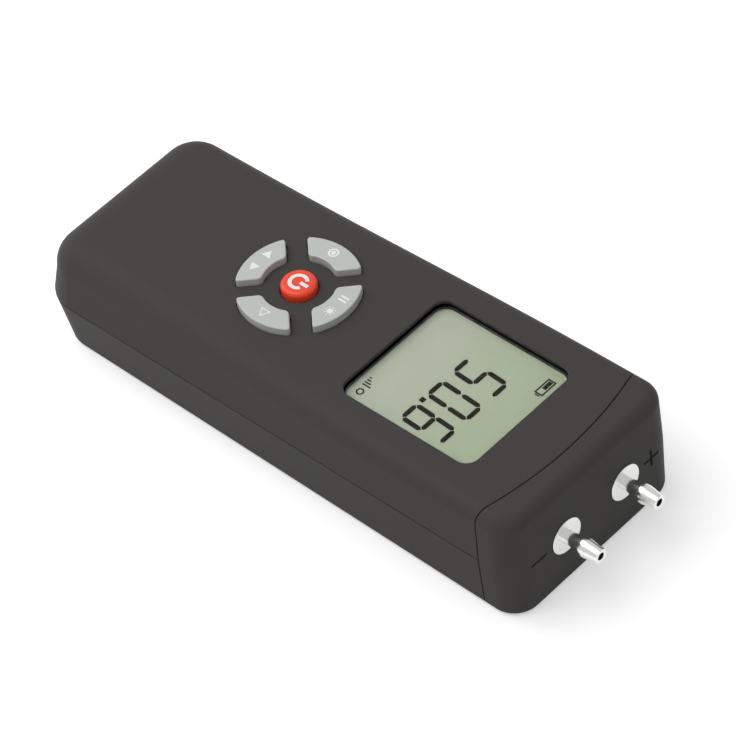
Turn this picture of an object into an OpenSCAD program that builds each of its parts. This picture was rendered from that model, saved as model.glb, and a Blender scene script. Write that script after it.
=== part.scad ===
// Handheld digital manometer: a case of two covers and an end cap, with a display, five keys,
// two hose ports, a pressure sensor and a block battery behind a sliding door.
// It lies on its back. The origin is the middle of the back face, +Z points out of the display,
// +Y points along the hose ports and +X is the reader's right, beside the port marked minus.

/* [Case] */
// Length of the case without the hose ports
case_len = 202.8; // [198:0.2:215]
// Width of the case at the parting line
case_w = 75.4; // [73:0.2:80]
// Thickness of the case
case_h = 41.5; // [41:0.1:46]
// Height of the parting line between the covers above the back
parting_h = 20.6; // [18:0.2:22]
// Thickness of the cover walls
wall = 2.4; // [2:0.1:2.8]
// Radius of the two corners at the grip end, seen from above
far_corner_r = 14.5; // [12:0.5:18]
// Radius of the two corners at the port end, seen from above
near_corner_r = 9.5; // [7.5:0.5:10.5]
// Radius of the top edge at the grip end
top_r_far = 11; // [9:0.5:12]
// Radius of the top edge at the port end
top_r_near = 4.5; // [4.2:0.1:6]
// Radius of the edge round the back
back_r = 2.2; // [1.5:0.1:2.6]
// Lean of the front cover's walls at the grip end
front_draft_far = 2.1; // [0.5:0.1:2.6]
// Lean of the front cover's walls at the port end
front_draft_near = 0.4; // [0.2:0.1:0.9]
// How far the top edges draw in at the grip and swell beside the display
top_swell = 0.5; // [0:0.1:1]
// Lean of the rear cover's walls at the grip end
back_draft_far = 3.3; // [0.5:0.1:3.6]
// Lean of the rear cover's walls at the port end
back_draft_near = 0.3; // [0:0.1:0.8]
// Open line between the case's three shells
seam = 0.3; // [0.1:0.05:0.5]
// Thickness of the rear cover's lip inside the front cover
lip_t = 0.9; // [0.7:0.1:1.1]
// Height of the rear cover's lip
lip_h = 1.5; // [1:0.1:2.5]
// Play between the parts of the case that fit into one another
case_fit = 0.15; // [0.05:0.05:0.25]

/* [End cap] */
// Length of the end cap along its middle
cap_len = 9; // [9:0.1:13]
// Radius of the arched seam between the covers and the end cap
seam_r = 138; // [115:1:200]
// Length of the end cap's tabs inside the covers
tab_len = 3; // [2:0.1:3.4]
// Thickness of the tabs
tab_t = 1.4; // [1.1:0.1:1.6]
// Width of the upper and lower tabs
tab_w = 40; // [30:1:44]
// Height of the side tabs
tab_h = 16; // [10:0.5:18]
// Length of the plus and minus signs
sign_len = 7; // [4:0.1:7.5]
// Width of the signs' strokes
sign_stroke = 1; // [0.5:0.1:1.5]
// Depth of the signs
sign_depth = 0.8; // [0.2:0.1:0.9]
// Distance from a port's flange to its sign
sign_gap = 2.6; // [1:0.1:3]

/* [Hose ports] */
// Distance between the two ports
port_pitch = 27.2; // [26:0.1:30]
// Height of the case's front face above the ports
port_h = 21.5; // [20.5:0.1:23.5]
// How far a port stands out of the end cap
port_reach = 13.7; // [11:0.1:18]
// Diameter of the flange
flange_d = 12.6; // [11:0.1:13.5]
// Thickness of the flange
flange_t = 1.2; // [1:0.1:1.6]
// How far the flange stands out of its recess
flange_rise = 0.3; // [0.1:0.1:0.6]
// Diameter of the neck behind the barb
neck_d = 4.7; // [4:0.1:5.2]
// Largest diameter of the barb
barb_d = 6.3; // [5.8:0.1:7]
// Length of the barb's cylindrical land
barb_land = 2.3; // [1:0.1:3]
// Length of the barb's cone
barb_cone = 4.8; // [3:0.1:5.5]
// Diameter of the tip
tip_d = 4.8; // [3.8:0.1:5.2]
// Diameter of the bore
port_bore_d = 2.7; // [1.5:0.1:2.9]
// Diameter of the shank through the end cap
shank_d = 6; // [5.5:0.1:7]
// Play between the shank or flange and the end cap
shank_fit = 0.1; // [0.05:0.05:0.2]
// Width of the nut across its flats
nut_w = 10; // [9:0.5:11]
// Thickness of the nut
nut_t = 3; // [2:0.1:4]
// Play round the nut in its flat seat
nut_seat_fit = 0.3; // [0.2:0.05:0.6]
// How far the shank stands out of the nut
shank_past_nut = 0.8; // [0.5:0.1:1.5]
// Length of the inner stub that the tube fits on
stub_len = 6.5; // [5:0.1:8]

/* [Sensor and tubes] */
// Bore of the inner tubes
tube_bore_d = 3.7; // [3.5:0.1:4.2]
// Outer diameter of the inner tubes
tube_d = 6; // [5.5:0.1:6.5]
// Play between a stub and the tube on it
tube_fit = 0.05; // [0.02:0.01:0.1]
// Distance from the sensor's stubs to the ports' stubs, where the tubes bend
tube_bend_len = 16.6; // [14:0.2:20]
// Length of a stub that the tube leaves bare
stub_bare = 0.4; // [0.2:0.1:1]
// Distance between the sensor's two stubs
sensor_pitch = 8; // [7:0.1:10]
// Width of the sensor
sensor_w = 18; // [14:0.5:22]
// Length of the sensor
sensor_l = 16; // [12:0.5:18]
// Height of the sensor
sensor_h = 7; // [6.5:0.1:8]
// Length of the sensor's stubs
sensor_stub_len = 5.6; // [4:0.1:7]

/* [Display] */
// Distance from the port end of the case to the middle of the window
display_from_end = 54.5; // [54.5:0.1:60]
// Distance from the side of the case to the window
window_side = 13.35; // [13:0.05:16.5]
// Length of the window
window_l = 53.6; // [44:0.1:54.6]
// Radius of the window's corners
window_r = 4.5; // [2:0.1:6]
// Thickness of the lip above the lens
window_lip = 1.5; // [1.2:0.1:1.7]
// Thickness of the lens
lens_t = 1.2; // [1:0.1:1.5]
// How far the lens reaches past the window on each side
lens_margin = 2; // [1.5:0.1:2.3]
// Play round the lens
lens_fit = 0.15; // [0.05:0.05:0.25]
// Thickness of the display frame's top
frame_top_t = 0.9; // [0.7:0.1:1.2]
// How far the frame's opening is smaller than the window on each side
frame_inset = 0.35; // [0.1:0.05:1]
// Thickness of the display frame's walls
frame_wall = 1.1; // [0.8:0.1:1.3]
// How far the glass reaches past the window on each side
glass_margin = 1.7; // [1.2:0.1:1.9]
// Thickness of the display glass
glass_t = 2.2; // [1.8:0.1:2.6]
// Play round the glass and its backlight
glass_fit = 0.15; // [0.05:0.05:0.25]
// Width of a contact strip
strip_w = 2; // [1.5:0.1:2.5]
// Distance from the glass's end to a contact strip
strip_inset = 0.8; // [0.4:0.1:1.2]
// Distance from a contact strip to the light box
light_gap = 0.8; // [0.4:0.1:1.5]
// Distance from the frame's inner wall to the light box or strip's end
light_side_gap = 1; // [0.5:0.1:2]

/* [Keys] */
// Distance from the middle of the window to the power key
keys_from_display = 65.1; // [63:0.1:68]
// Outer radius of the ring of four grey keys
key_out_r = 20.2; // [18:0.1:20.5]
// Inner radius of the ring of four grey keys
key_in_r = 12.2; // [11:0.1:13]
// Distance between neighbouring grey keys
key_gap = 7; // [5:0.1:8]
// Radius of the grey keys' corners
key_corner_r = 1.2; // [0.5:0.1:1.8]
// How far the grey keys stand out of the cover
key_rise = 2.5; // [1.5:0.1:3.5]
// Radius of the power key
power_r = 5.9; // [5:0.1:6.8]
// How far the power key stands out of the cover
power_rise = 3; // [2:0.1:4]
// Radius of the power key's upper edge
power_edge_r = 0.9; // [0.4:0.1:1.4]
// Play round each key in its hole
key_fit = 0.3; // [0.2:0.05:0.4]
// How far a key's flange reaches past its hole
flange_lap = 1; // [0.6:0.1:1.3]
// Thickness of a key's flange
key_flange_t = 1.2; // [0.8:0.1:1.4]
// Play between a key's flange and the cover above it
flange_play = 0.1; // [0.05:0.05:0.2]
// Diameter of a key's stem
stem_d = 4; // [3.4:0.1:5]
// Travel of the keys
key_travel = 0.8; // [0.5:0.1:1]

/* [Circuit board] */
// Distance from the cover's inner face down to the board
board_drop = 8.5; // [8.4:0.1:9.5]
// Thickness of the board
board_t = 1.6; // [1:0.1:1.8]
// Distance from the side of the case to the board
board_side = 10.2; // [10:0.1:10.5]
// How far the board reaches past the window at the port end
board_past_window = 9.7; // [9.4:0.1:10]
// How far the board reaches past the grey keys at the grip end
board_past_keys = 20; // [18:0.5:24]
// Width of a key switch
switch_w = 6; // [5:0.1:6.5]
// Height of a key switch without its plunger
switch_h = 3.5; // [3.2:0.1:3.8]
// Diameter of a switch plunger
plunger_d = 3.4; // [3:0.1:3.6]
// How far a switch plunger stands out of its switch
plunger_rise = 1.5; // [1.2:0.1:1.8]
// How far a switch plunger reaches into its switch
plunger_root = 1.1; // [0.8:0.1:1.3]
// Play round a plunger
plunger_fit = 0.05; // [0.02:0.01:0.1]
// Width of the controller chip
chip_w = 12; // [10:0.5:14]
// Thickness of the controller and amplifier chips
chip_t = 1.5; // [1:0.1:2]
// Width of the amplifier chip
amp_w = 8.6; // [6:0.1:10]
// Length of the amplifier chip
amp_l = 6; // [4:0.1:7]
// Length of the quartz crystal
crystal_l = 11; // [9:0.5:12]
// Diameter of the quartz crystal's round ends
crystal_d = 4.4; // [3.5:0.1:4.6]

/* [Battery] */
// Width of the block battery
battery_w = 26.4; // [25.5:0.1:26.6]
// Length of the block battery without its terminals
battery_l = 45.6; // [44:0.1:46.5]
// Thickness of the block battery
battery_t = 17.4; // [16.5:0.1:17.6]
// Height of the battery's terminals
terminal_h = 2.9; // [2.5:0.1:3.2]
// Diameter of the battery's round terminal
terminal_d = 5.7; // [5.4:0.1:6]
// Width of the battery's socket terminal
socket_d = 8; // [7.5:0.1:8.4]
// Distance between the terminals
terminal_pitch = 12.7; // [12.4:0.1:13]
// Distance from the grip end of the case to the battery
battery_from_end = 10.5; // [9.8:0.1:12]
// Play round the battery
battery_fit = 0.4; // [0.2:0.05:0.5]
// Thickness of the battery snap
snap_t = 4.2; // [3.8:0.1:5]
// Height of the battery snap
snap_h = 12; // [10.5:0.1:13.5]
// Play between the snap and the terminals
snap_fit = 0.2; // [0.1:0.05:0.3]
// Thickness of the battery bay's walls
bay_wall = 1.5; // [1.2:0.1:1.8]
// Diameter of the battery leads
lead_d = 1.4; // [1:0.1:1.8]
// How far the leads run before they meet the board
lead_run = 20; // [16:0.5:26]

/* [Battery door] */
// Width of the battery door
door_w = 34; // [32:0.5:36]
// Thickness of the battery door
door_t = 2.2; // [2:0.1:2.4]
// How far the door laps the battery bay at its inner end
door_lap = 3; // [2:0.1:4]
// Width of the door's tongues
tongue_w = 1.5; // [1:0.1:2]
// Thickness of the door's tongues
tongue_t = 1; // [0.8:0.1:1.1]
// How far the door's end bar is wider than the door on each side
bar_over = 3; // [2.4:0.1:4]
// Length of the door's end bar
bar_len = 8.6; // [7.4:0.1:8.8]
// Play round the door
door_fit = 0.2; // [0.1:0.05:0.25]
// Number of thumb grooves on the door
groove_count = 5; // [3:1:6]
// Pitch of the thumb grooves
groove_pitch = 2.6; // [2.2:0.1:3]
// Width of a thumb groove
groove_w = 1.2; // [0.8:0.1:1.4]
// Depth of a thumb groove
groove_depth = 0.6; // [0.3:0.1:0.8]
// Length of a thumb groove
groove_len = 20; // [14:0.5:24]

/* [Screws] */
// Diameter of the case screws
case_screw_d = 3; // [2.5:0.1:3.2]
// Diameter of the case screws' heads
case_head_d = 5.4; // [5:0.1:5.6]
// Height of the case screws' heads
case_head_h = 2; // [1.6:0.1:2.4]
// Depth of the case screws' heads under the back
case_head_depth = 6; // [4:0.1:8]
// How far the case screws reach into the front cover
case_screw_bite = 8; // [6:0.5:12]
// Play round the screws and their heads
screw_fit = 0.2; // [0.1:0.05:0.3]
// Diameter of the front cover's screw posts
post_d = 6; // [5.6:0.1:6.2]
// Wall round the screw heads in the rear cover
head_wall = 1.2; // [1:0.1:1.3]
// Distance from the side of the case to the screws at the port end
near_post_side = 5.6; // [5.5:0.1:5.9]
// Distance from the port end of the case to its screws
near_post_end = 22.6; // [22.4:0.1:24]
// Distance from the side of the case to the screws at the grip end
far_post_side = 12.5; // [12.3:0.1:13]
// Distance from the grip end of the case to its screws
far_post_end = 16.3; // [15.5:0.1:20]
// Diameter of the board screws
board_screw_d = 2.2; // [2:0.1:2.4]
// Diameter of the board screws' heads
board_head_d = 4.2; // [3.8:0.1:4.6]
// Height of the board screws' heads
board_head_h = 1.5; // [1.2:0.1:1.8]
// How far the board screws reach into their posts
board_screw_bite = 5; // [4:0.1:6]
// Diameter of the board posts
board_post_d = 5; // [4.4:0.1:5.2]
// Distance from the side of the board to its screws
board_post_side = 3.5; // [3:0.1:4]
// Distance from the board's ends to its end screws
board_post_end = 3.4; // [3:0.1:3.6]
// Distance from the window to the middle screws of the board
board_post_window = 9; // [8.5:0.1:10]

/* [Hidden] */
$fn = 48;

// Overrun of the cuts
cut = 1;
half_w = case_w / 2;
half_l = case_len / 2;
// Steps of the case's form: points on a corner, points along a side, rings on an edge
corner_steps = 8;
side_steps = 10;
edge_steps = 5;
// Distance from the outer face to the tabs' outer faces, and the end cap's wall behind them
tab_in = wall + case_fit;
cap_wall = tab_in + 1.2 * tab_t;
seam_y = half_l - cap_len;
// Where the arched seam runs at a distance from the middle
function arch_y(x) = seam_y - seam_r + sqrt(seam_r * seam_r - x * x);
ceiling_z = case_h - wall;
port_z = case_h - port_h;

// Heights of the display's layers, from the top down
lens_z = case_h - window_lip - lens_t;
frame_z = lens_z - frame_top_t;
glass_z = frame_z - glass_t;
board_top_z = ceiling_z - board_drop;
board_z = board_top_z - board_t;
display_y = half_l - display_from_end;
window_w = case_w - 2 * window_side;
lens_w = window_w + 2 * lens_margin;
lens_l = window_l + 2 * lens_margin;
glass_w = window_w + 2 * glass_margin;
glass_l = window_l + 2 * glass_margin;
frame_in_w = glass_w + 2 * glass_fit;
frame_in_l = glass_l + 2 * glass_fit;
frame_w = frame_in_w + 2 * frame_wall;
frame_l = frame_in_l + 2 * frame_wall;
strip_y = glass_l / 2 - strip_inset - strip_w / 2;
light_w = frame_in_w - 2 * light_side_gap;
light_l = 2 * (strip_y - strip_w / 2 - light_gap);

// Places of the keys, switches and board
keys_y = display_y - keys_from_display;
key_mid_r = (key_out_r + key_in_r) / 2;
key_flange_z = ceiling_z - flange_play - key_flange_t;
plunger_top_z = board_top_z + switch_h + plunger_rise;
board_w = case_w - 2 * board_side;
board_near_y = display_y + window_l / 2 + board_past_window;
board_far_y = keys_y - key_out_r - board_past_keys;
board_post_x = board_w / 2 - board_post_side;
board_post_ys = [board_near_y - board_post_end, display_y - window_l / 2 - board_post_window,
                 board_far_y + board_post_end];

// Places of the ports, tubes and sensor
port_x = port_pitch / 2;
nut_corners_d = nut_w / cos(30);
nut_y = half_l - cap_wall - nut_t;
shank_y = nut_y - shank_past_nut;
stub_y = shank_y - stub_len;
sensor_z = board_z - sensor_h / 2;
tube_shift_x = port_x - sensor_pitch / 2;
tube_shift_z = port_z - sensor_z;
tube_shift = sqrt(tube_shift_x * tube_shift_x + tube_shift_z * tube_shift_z);
sensor_stub_y = stub_y - tube_bend_len - sensor_stub_len;
stub_d = tube_bore_d - 2 * tube_fit;

// Places of the battery, its bay and its door
battery_far_y = battery_from_end - half_l;
battery_y = battery_far_y + battery_l;
battery_z = door_t + door_fit + battery_fit / 2;
battery_mid_z = battery_z + battery_t / 2;
snap_y = battery_y + snap_fit;
bay_x = battery_w / 2 + battery_fit;
bay_far_y = battery_far_y - battery_fit;
bay_near_y = snap_y + snap_t + battery_fit;
bay_top_z = battery_z + battery_t + battery_fit;
door_near_y = bay_near_y + door_lap;
bar_y = bar_len - half_l;
slot_top_z = door_t + door_fit;

// The leads' curve, as shares of its length and of its rise, and its rings
lead_y_shares = [0, 0.6, 1, 1];
lead_z_shares = [0, 0, 0.4, 1];
lead_rings = 14;
// The tubes' curve between the stubs, as shares of its length, and its rings
tube_y_shares = [0, 0.62, 0.38, 1];
tube_rings = 18;

// Places of the case screws
post_places = [[half_w - near_post_side, half_l - near_post_end],
               [half_w - far_post_side, far_post_end - half_l]];
case_screw_top = parting_h + seam + case_screw_bite;

function mix(a, b, share) = a + (b - a) * share;
// Share of the way from the grip end to the port end
function way(y) = (y + half_l) / case_len;
function top_r(y) = mix(top_r_far, top_r_near, way(y));
function front_draft(y) = mix(front_draft_far, front_draft_near, way(y))
                          - top_swell * sin(180 * y / half_l);
function back_draft(y) = mix(back_draft_far, back_draft_near, way(y));

// Stations round the case at the parting line: centre x, centre y, radius and angle.
// Those of the port end alone close straight across, inside the covers.
function corner(x, y, r, from) = [for (i = [0 : corner_steps])
    [x, y, r, from + 90 * i / corner_steps]];
function side(sign_x, from, to) = [for (i = [1 : side_steps - 1])
    [sign_x * (half_w - near_corner_r), mix(from, to, i / side_steps), near_corner_r,
     sign_x > 0 ? 360 : 180]];
near_x = half_w - near_corner_r;
near_y = half_l - near_corner_r;
far_x = half_w - far_corner_r;
far_y = far_corner_r - half_l;
left_side = side(-1, near_y, far_y);
right_side = side(1, far_y, near_y);
near_corners = concat(corner(near_x, near_y, near_corner_r, 0),
                      corner(-near_x, near_y, near_corner_r, 90));
far_corners = concat(corner(-far_x, far_y, far_corner_r, 180), corner(far_x, far_y, far_corner_r, 270));
case_stations = concat(near_corners, left_side, far_corners, right_side);
cap_stations = concat([right_side[side_steps - 2]], near_corners, [left_side[0]]);

// A point of the case at a station, a distance inwards and a height
function place(s, inwards, z) = [s[0] + (s[2] - inwards) * cos(s[3]),
                                 s[1] + (s[2] - inwards) * sin(s[3]), z];
// Rings of the case's form, from the back edge up to the top edge, set in by a wall
function back_ring(stations, t, turn) = [for (s = stations) let (y = s[1] + s[2] * sin(s[3]))
    place(s, t + back_draft(y) + back_r * (1 - sin(turn)), t + back_r * (1 - cos(turn)))];
function top_ring(stations, t, turn) = [for (s = stations)
    let (y = s[1] + s[2] * sin(s[3]), r = max(top_r(y) - t, back_r))
    place(s, t + front_draft(y) + r * (1 - cos(turn)), case_h - t - r * (1 - sin(turn)))];

// The case's solid form, set in from its outer face by a wall of thickness t
module case_form(t = 0, stations = case_stations) {
    steps = [for (i = [0 : edge_steps]) 90 * i / edge_steps];
    rings = concat([for (turn = steps) back_ring(stations, t, turn)],
                   [[for (s = stations) place(s, t, parting_h)]],
                   [for (turn = steps) top_ring(stations, t, turn)]);
    n = len(stations);
    top = (len(rings) - 1) * n;
    end = top + n;
    middles = [for (ring = [rings[0], rings[len(rings) - 1]]) [for (q = ring) 1] * ring / n];
    sides = [for (k = [0 : len(rings) - 2], i = [0 : n - 1])
        let (j = (i + 1) % n, low = k * n, high = low + n)
        each [[low + i, high + i, high + j], [low + i, high + j, low + j]]];
    faces = [for (i = [0 : n - 1]) let (j = (i + 1) % n)
        each [[i, j, end], [top + j, top + i, end + 1]]];
    polyhedron(points = concat([for (ring = rings) each ring], middles), faces = concat(sides, faces));
}

// The outline of the case at the parting line, set in by t
module case_outline(t) {
    polygon([for (s = case_stations) let (p = place(s, t, 0)) [p[0], p[1]]]);
}

// The upright disc whose edge is the arched seam
module seam_disc(grow) {
    translate([0, seam_y - seam_r, -cut])
        cylinder(r = seam_r + grow, h = case_h + 2 * cut, $fn = 96);
}

// A block from one height up to another that is wider and longer than the case
module slab(low, high) {
    translate([-case_w, -case_len, low])
        cube([2 * case_w, 2 * case_len, high - low]);
}

// A plate with round corners about the origin
module round_plate(w, l, r, low, high) {
    xs = w / 2 - r;
    ys = l / 2 - r;
    centres = [[xs, ys], [-xs, ys], [-xs, -ys], [xs, -ys]];
    translate([0, 0, low]) linear_extrude(high - low)
        polygon([for (q = [0 : 3], i = [0 : corner_steps]) let (a = 90 * (q + i / corner_steps))
            [centres[q][0] + r * cos(a), centres[q][1] + r * sin(a)]]);
}

// A block given by its two opposite corners
module block(low, high) {
    translate(low) cube(high - low);
}

module at_display() {
    translate([0, display_y, 0]) children();
}

module at_keys() {
    translate([0, keys_y, 0]) children();
}

// The four case screws' places
module at_case_screws() {
    for (side = [-1, 1], p = post_places)
        translate([side * p[0], p[1], 0]) children();
}

// The six board screws' places
module at_board_screws() {
    for (side = [-1, 1], y = board_post_ys)
        translate([side * board_post_x, y, 0]) children();
}

// Outline of the grey key on the +X side, turned about the power key
module key_outline(turn, grow) {
    rotate(turn)
        offset(r = key_corner_r + grow) offset(delta = -key_corner_r)
            intersection() {
                difference() {
                    circle(key_out_r);
                    circle(key_in_r);
                }
                rotate(-45) translate([key_gap / 2, key_gap / 2]) square(key_out_r);
            }
}

// Case

module front_cover() color([0.20, 0.20, 0.19]) {
    difference() {
        union() {
            difference() {
                intersection() {
                    difference() {
                        case_form();
                        case_form(wall);
                    }
                    slab(parting_h + seam / 2, case_h + cut);
                    seam_disc(-seam / 2);
                }
                translate([0, 0, parting_h]) linear_extrude(lip_h + case_fit)
                    case_outline(wall - lip_t - 2 * case_fit);
            }
            at_case_screws() translate([0, 0, parting_h + seam / 2])
                cylinder(d = post_d, h = ceiling_z + wall / 2 - parting_h - seam / 2);
            at_board_screws() translate([0, 0, board_top_z])
                cylinder(d = board_post_d, h = board_drop + wall / 2);
        }
        at_display() round_plate(window_w, window_l, window_r, ceiling_z - cut, case_h + cut);
        at_display() round_plate(lens_w + 2 * lens_fit, lens_l + 2 * lens_fit, window_r,
                                 ceiling_z - cut, case_h - window_lip);
        at_keys() translate([0, 0, ceiling_z - cut]) {
            for (turn = [0 : 90 : 270])
                linear_extrude(wall + 2 * cut) key_outline(turn, key_fit);
            cylinder(r = power_r + key_fit, h = wall + 2 * cut);
        }
        at_case_screws() translate([0, 0, parting_h])
            cylinder(d = case_screw_d + 2 * screw_fit, h = case_screw_bite + cut);
        at_board_screws() translate([0, 0, board_top_z - cut])
            cylinder(d = board_screw_d + 2 * screw_fit, h = board_screw_bite + 2 * cut);
    }
}

module rear_cover() color([0.17, 0.17, 0.165]) {
    head_d = case_head_d + 2 * screw_fit;
    difference() {
        union() {
            intersection() {
                union() {
                    intersection() {
                        difference() {
                            case_form();
                            case_form(wall);
                        }
                        slab(-cut, parting_h - seam / 2);
                    }
                    translate([0, 0, parting_h - lip_h]) linear_extrude(2 * lip_h)
                        difference() {
                            case_outline(wall - lip_t - case_fit);
                            case_outline(wall - case_fit);
                        }
                }
                seam_disc(-seam / 2);
            }
            at_case_screws() translate([0, 0, wall / 2])
                cylinder(d = head_d + 2 * head_wall, h = parting_h - seam / 2 - wall / 2);
            bay_box();
        }
        bay_cuts();
        at_case_screws() {
            translate([0, 0, -cut]) cylinder(d = head_d, h = case_head_depth + cut);
            cylinder(d = case_screw_d + 2 * screw_fit, h = parting_h);
        }
    }
}

// The battery bay's outer block and the runner plate round the door's slot
module bay_box() {
    plate_x = door_w / 2 + bar_over + door_fit + bay_wall;
    block([-bay_x - bay_wall, bay_far_y - bay_wall, wall / 2],
          [bay_x + bay_wall, bay_near_y + bay_wall, bay_top_z + bay_wall]);
    block([-plate_x, back_draft_far + back_r / 2 - half_l, wall / 2],
          [plate_x, door_near_y + door_fit + bay_wall, slot_top_z + bay_wall]);
}

// The bay's inside, the door's slot and the notch for the leads
module bay_cuts() {
    slot_x = door_w / 2 + door_fit;
    slot_y = door_near_y + door_fit;
    notch_x = terminal_pitch / 2 + lead_d;
    block([-bay_x, bay_far_y, -cut], [bay_x, bay_near_y, bay_top_z]);
    block([-slot_x, -half_l - cut, -cut], [slot_x, slot_y, slot_top_z]);
    block([-slot_x - tongue_w, -half_l - cut, door_t - tongue_t - door_fit],
          [slot_x + tongue_w, slot_y, slot_top_z]);
    block([-slot_x - bar_over, -half_l - cut, -cut], [slot_x + bar_over, bar_y + door_fit, slot_top_z]);
    block([-notch_x, bay_near_y - cut, battery_mid_z - 2 * lead_d],
          [notch_x, bay_near_y + bay_wall + cut, battery_mid_z + 2 * lead_d]);
}

module end_cap() color([0.18, 0.18, 0.175]) {
    sign_x = port_x + flange_d / 2 + sign_gap + sign_len / 2;
    difference() {
        union() {
            difference() {
                case_form(0, cap_stations);
                seam_disc(seam / 2);
            }
            cap_tabs();
        }
        case_form(cap_wall, cap_stations);
        for (side = [-1, 1]) translate([side * port_x, half_l + cut, port_z]) rotate([90, 0, 0]) {
            cylinder(d = shank_d + 2 * shank_fit, h = cap_wall + 2 * cut);
            cylinder(d = flange_d + 2 * shank_fit, h = cut + flange_t - flange_rise);
            // Flat seat of the nut in the leaning inner face
            translate([0, 0, cut + cap_wall]) cylinder(d = nut_corners_d + 2 * nut_seat_fit, h = nut_t);
        }
        for (side = [-1, 1]) sign_stroke_at(side * sign_x, sign_len, sign_stroke);
        sign_stroke_at(-sign_x, sign_stroke, sign_len);
    }
}

// The tabs that lie inside the covers: above, below and at both sides
module cap_tabs() {
    flat_y = arch_y(tab_w / 2) - tab_len;
    side_x = half_w - tab_in - front_draft_near;
    side_y = arch_y(half_w) - tab_len;
    end_y = half_l - wall;
    for (z = [tab_in, case_h - tab_in - tab_t])
        block([-tab_w / 2, flat_y, z], [tab_w / 2, end_y, z + tab_t]);
    for (side = [-1, 1])
        block([side > 0 ? side_x - tab_t : -side_x, side_y, parting_h - tab_h / 2],
              [side > 0 ? side_x : tab_t - side_x, end_y, parting_h + tab_h / 2]);
}

// One stroke of a sign, w wide and h high, sunk into the end face
module sign_stroke_at(x, w, h) {
    block([x - w / 2, half_l - sign_depth, port_z - h / 2], [x + w / 2, half_l + cut, port_z + h / 2]);
}

module battery_door() color([0.17, 0.17, 0.165]) {
    half_bar = door_w / 2 + bar_over;
    half_tongues = door_w / 2 + tongue_w;
    difference() {
        intersection() {
            case_form();
            union() {
                block([-door_w / 2, -half_l - cut, -cut], [door_w / 2, door_near_y, door_t]);
                block([-half_tongues, bar_y - cut, door_t - tongue_t],
                      [half_tongues, door_near_y, door_t]);
                block([-half_bar, -half_l - cut, -cut], [half_bar, bar_y, door_t]);
            }
        }
        for (i = [1 : groove_count])
            translate([-groove_len / 2, bar_y + groove_pitch * i - groove_w / 2, -cut])
                cube([groove_len, groove_w, groove_depth + cut]);
    }
}

// Display

module window_lens() color([0.75, 0.80, 0.78, 0.35]) {
    at_display() round_plate(lens_w, lens_l, window_r, lens_z, lens_z + lens_t);
}

module display_frame() color([0.10, 0.10, 0.10]) {
    at_display() difference() {
        round_plate(frame_w, frame_l, 2 * frame_wall, board_top_z, lens_z);
        round_plate(window_w - 2 * frame_inset, window_l - 2 * frame_inset, window_r,
                    frame_z - cut, lens_z + cut);
        block([-frame_in_w / 2, -frame_in_l / 2, board_top_z - cut],
              [frame_in_w / 2, frame_in_l / 2, frame_z]);
    }
}

module display_glass() color([0.64, 0.68, 0.58]) {
    at_display() block([-glass_w / 2, -glass_l / 2, glass_z], [glass_w / 2, glass_l / 2, frame_z]);
}

module contact_strips() color([0.85, 0.55, 0.60]) {
    at_display() for (side = [-1, 1])
        translate([-light_w / 2, side * strip_y - strip_w / 2, board_top_z])
            cube([light_w, strip_w, glass_z - board_top_z]);
}

module light_box() color([0.93, 0.93, 0.90]) {
    at_display() block([-light_w / 2, -light_l / 2, board_top_z],
                       [light_w / 2, light_l / 2, glass_z]);
}

// Keys

// A grey key with its flange under the cover and its stem on the switch
module grey_key(turn) {
    at_keys() {
        translate([0, 0, key_flange_z]) linear_extrude(case_h + key_rise - key_flange_z)
            key_outline(turn, 0);
        translate([0, 0, key_flange_z]) linear_extrude(key_flange_t)
            key_outline(turn, key_fit + flange_lap);
        rotate(turn) translate([key_mid_r, 0, plunger_top_z])
            cylinder(d = stem_d, h = key_flange_z - plunger_top_z + key_flange_t / 2);
    }
}

module right_key() color([0.70, 0.70, 0.69]) grey_key(0);
module upper_key() color([0.70, 0.70, 0.69]) grey_key(90);
module left_key() color([0.70, 0.70, 0.69]) grey_key(180);
module lower_key() color([0.70, 0.70, 0.69]) grey_key(270);

module power_key() color([0.90, 0.14, 0.12]) {
    top = case_h + power_rise;
    edge = [for (i = [0 : edge_steps]) let (a = 90 * i / edge_steps)
        [power_r - power_edge_r * (1 - cos(a)), top - power_edge_r * (1 - sin(a))]];
    at_keys() {
        rotate_extrude() polygon(concat([[0, key_flange_z], [power_r, key_flange_z]], edge, [[0, top]]));
        translate([0, 0, key_flange_z])
            cylinder(r = power_r + key_fit + flange_lap, h = key_flange_t);
        translate([0, 0, plunger_top_z])
            cylinder(d = stem_d, h = key_flange_z - plunger_top_z + key_flange_t / 2);
    }
}

// The five switches' places: the power key's first, then right, upper, left and lower
module at_switch(i) {
    at_keys() rotate(90 * (i - 1)) translate([i == 0 ? 0 : key_mid_r, 0, board_top_z]) children();
}

module plunger(i) {
    at_switch(i) translate([0, 0, switch_h - plunger_root])
        cylinder(d = plunger_d, h = plunger_root + plunger_rise);
}

module power_plunger() color([0.15, 0.15, 0.15]) plunger(0);
module right_plunger() color([0.15, 0.15, 0.15]) plunger(1);
module upper_plunger() color([0.15, 0.15, 0.15]) plunger(2);
module left_plunger() color([0.15, 0.15, 0.15]) plunger(3);
module lower_plunger() color([0.15, 0.15, 0.15]) plunger(4);

module key_switches() color([0.55, 0.56, 0.58]) {
    bore_h = plunger_root + key_travel + plunger_fit;
    for (i = [0 : 4]) at_switch(i) difference() {
        translate([-switch_w / 2, -switch_w / 2, 0]) cube([switch_w, switch_w, switch_h]);
        translate([0, 0, switch_h - bore_h])
            cylinder(d = plunger_d + 2 * plunger_fit, h = bore_h + cut);
    }
}

// Circuit board

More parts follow.
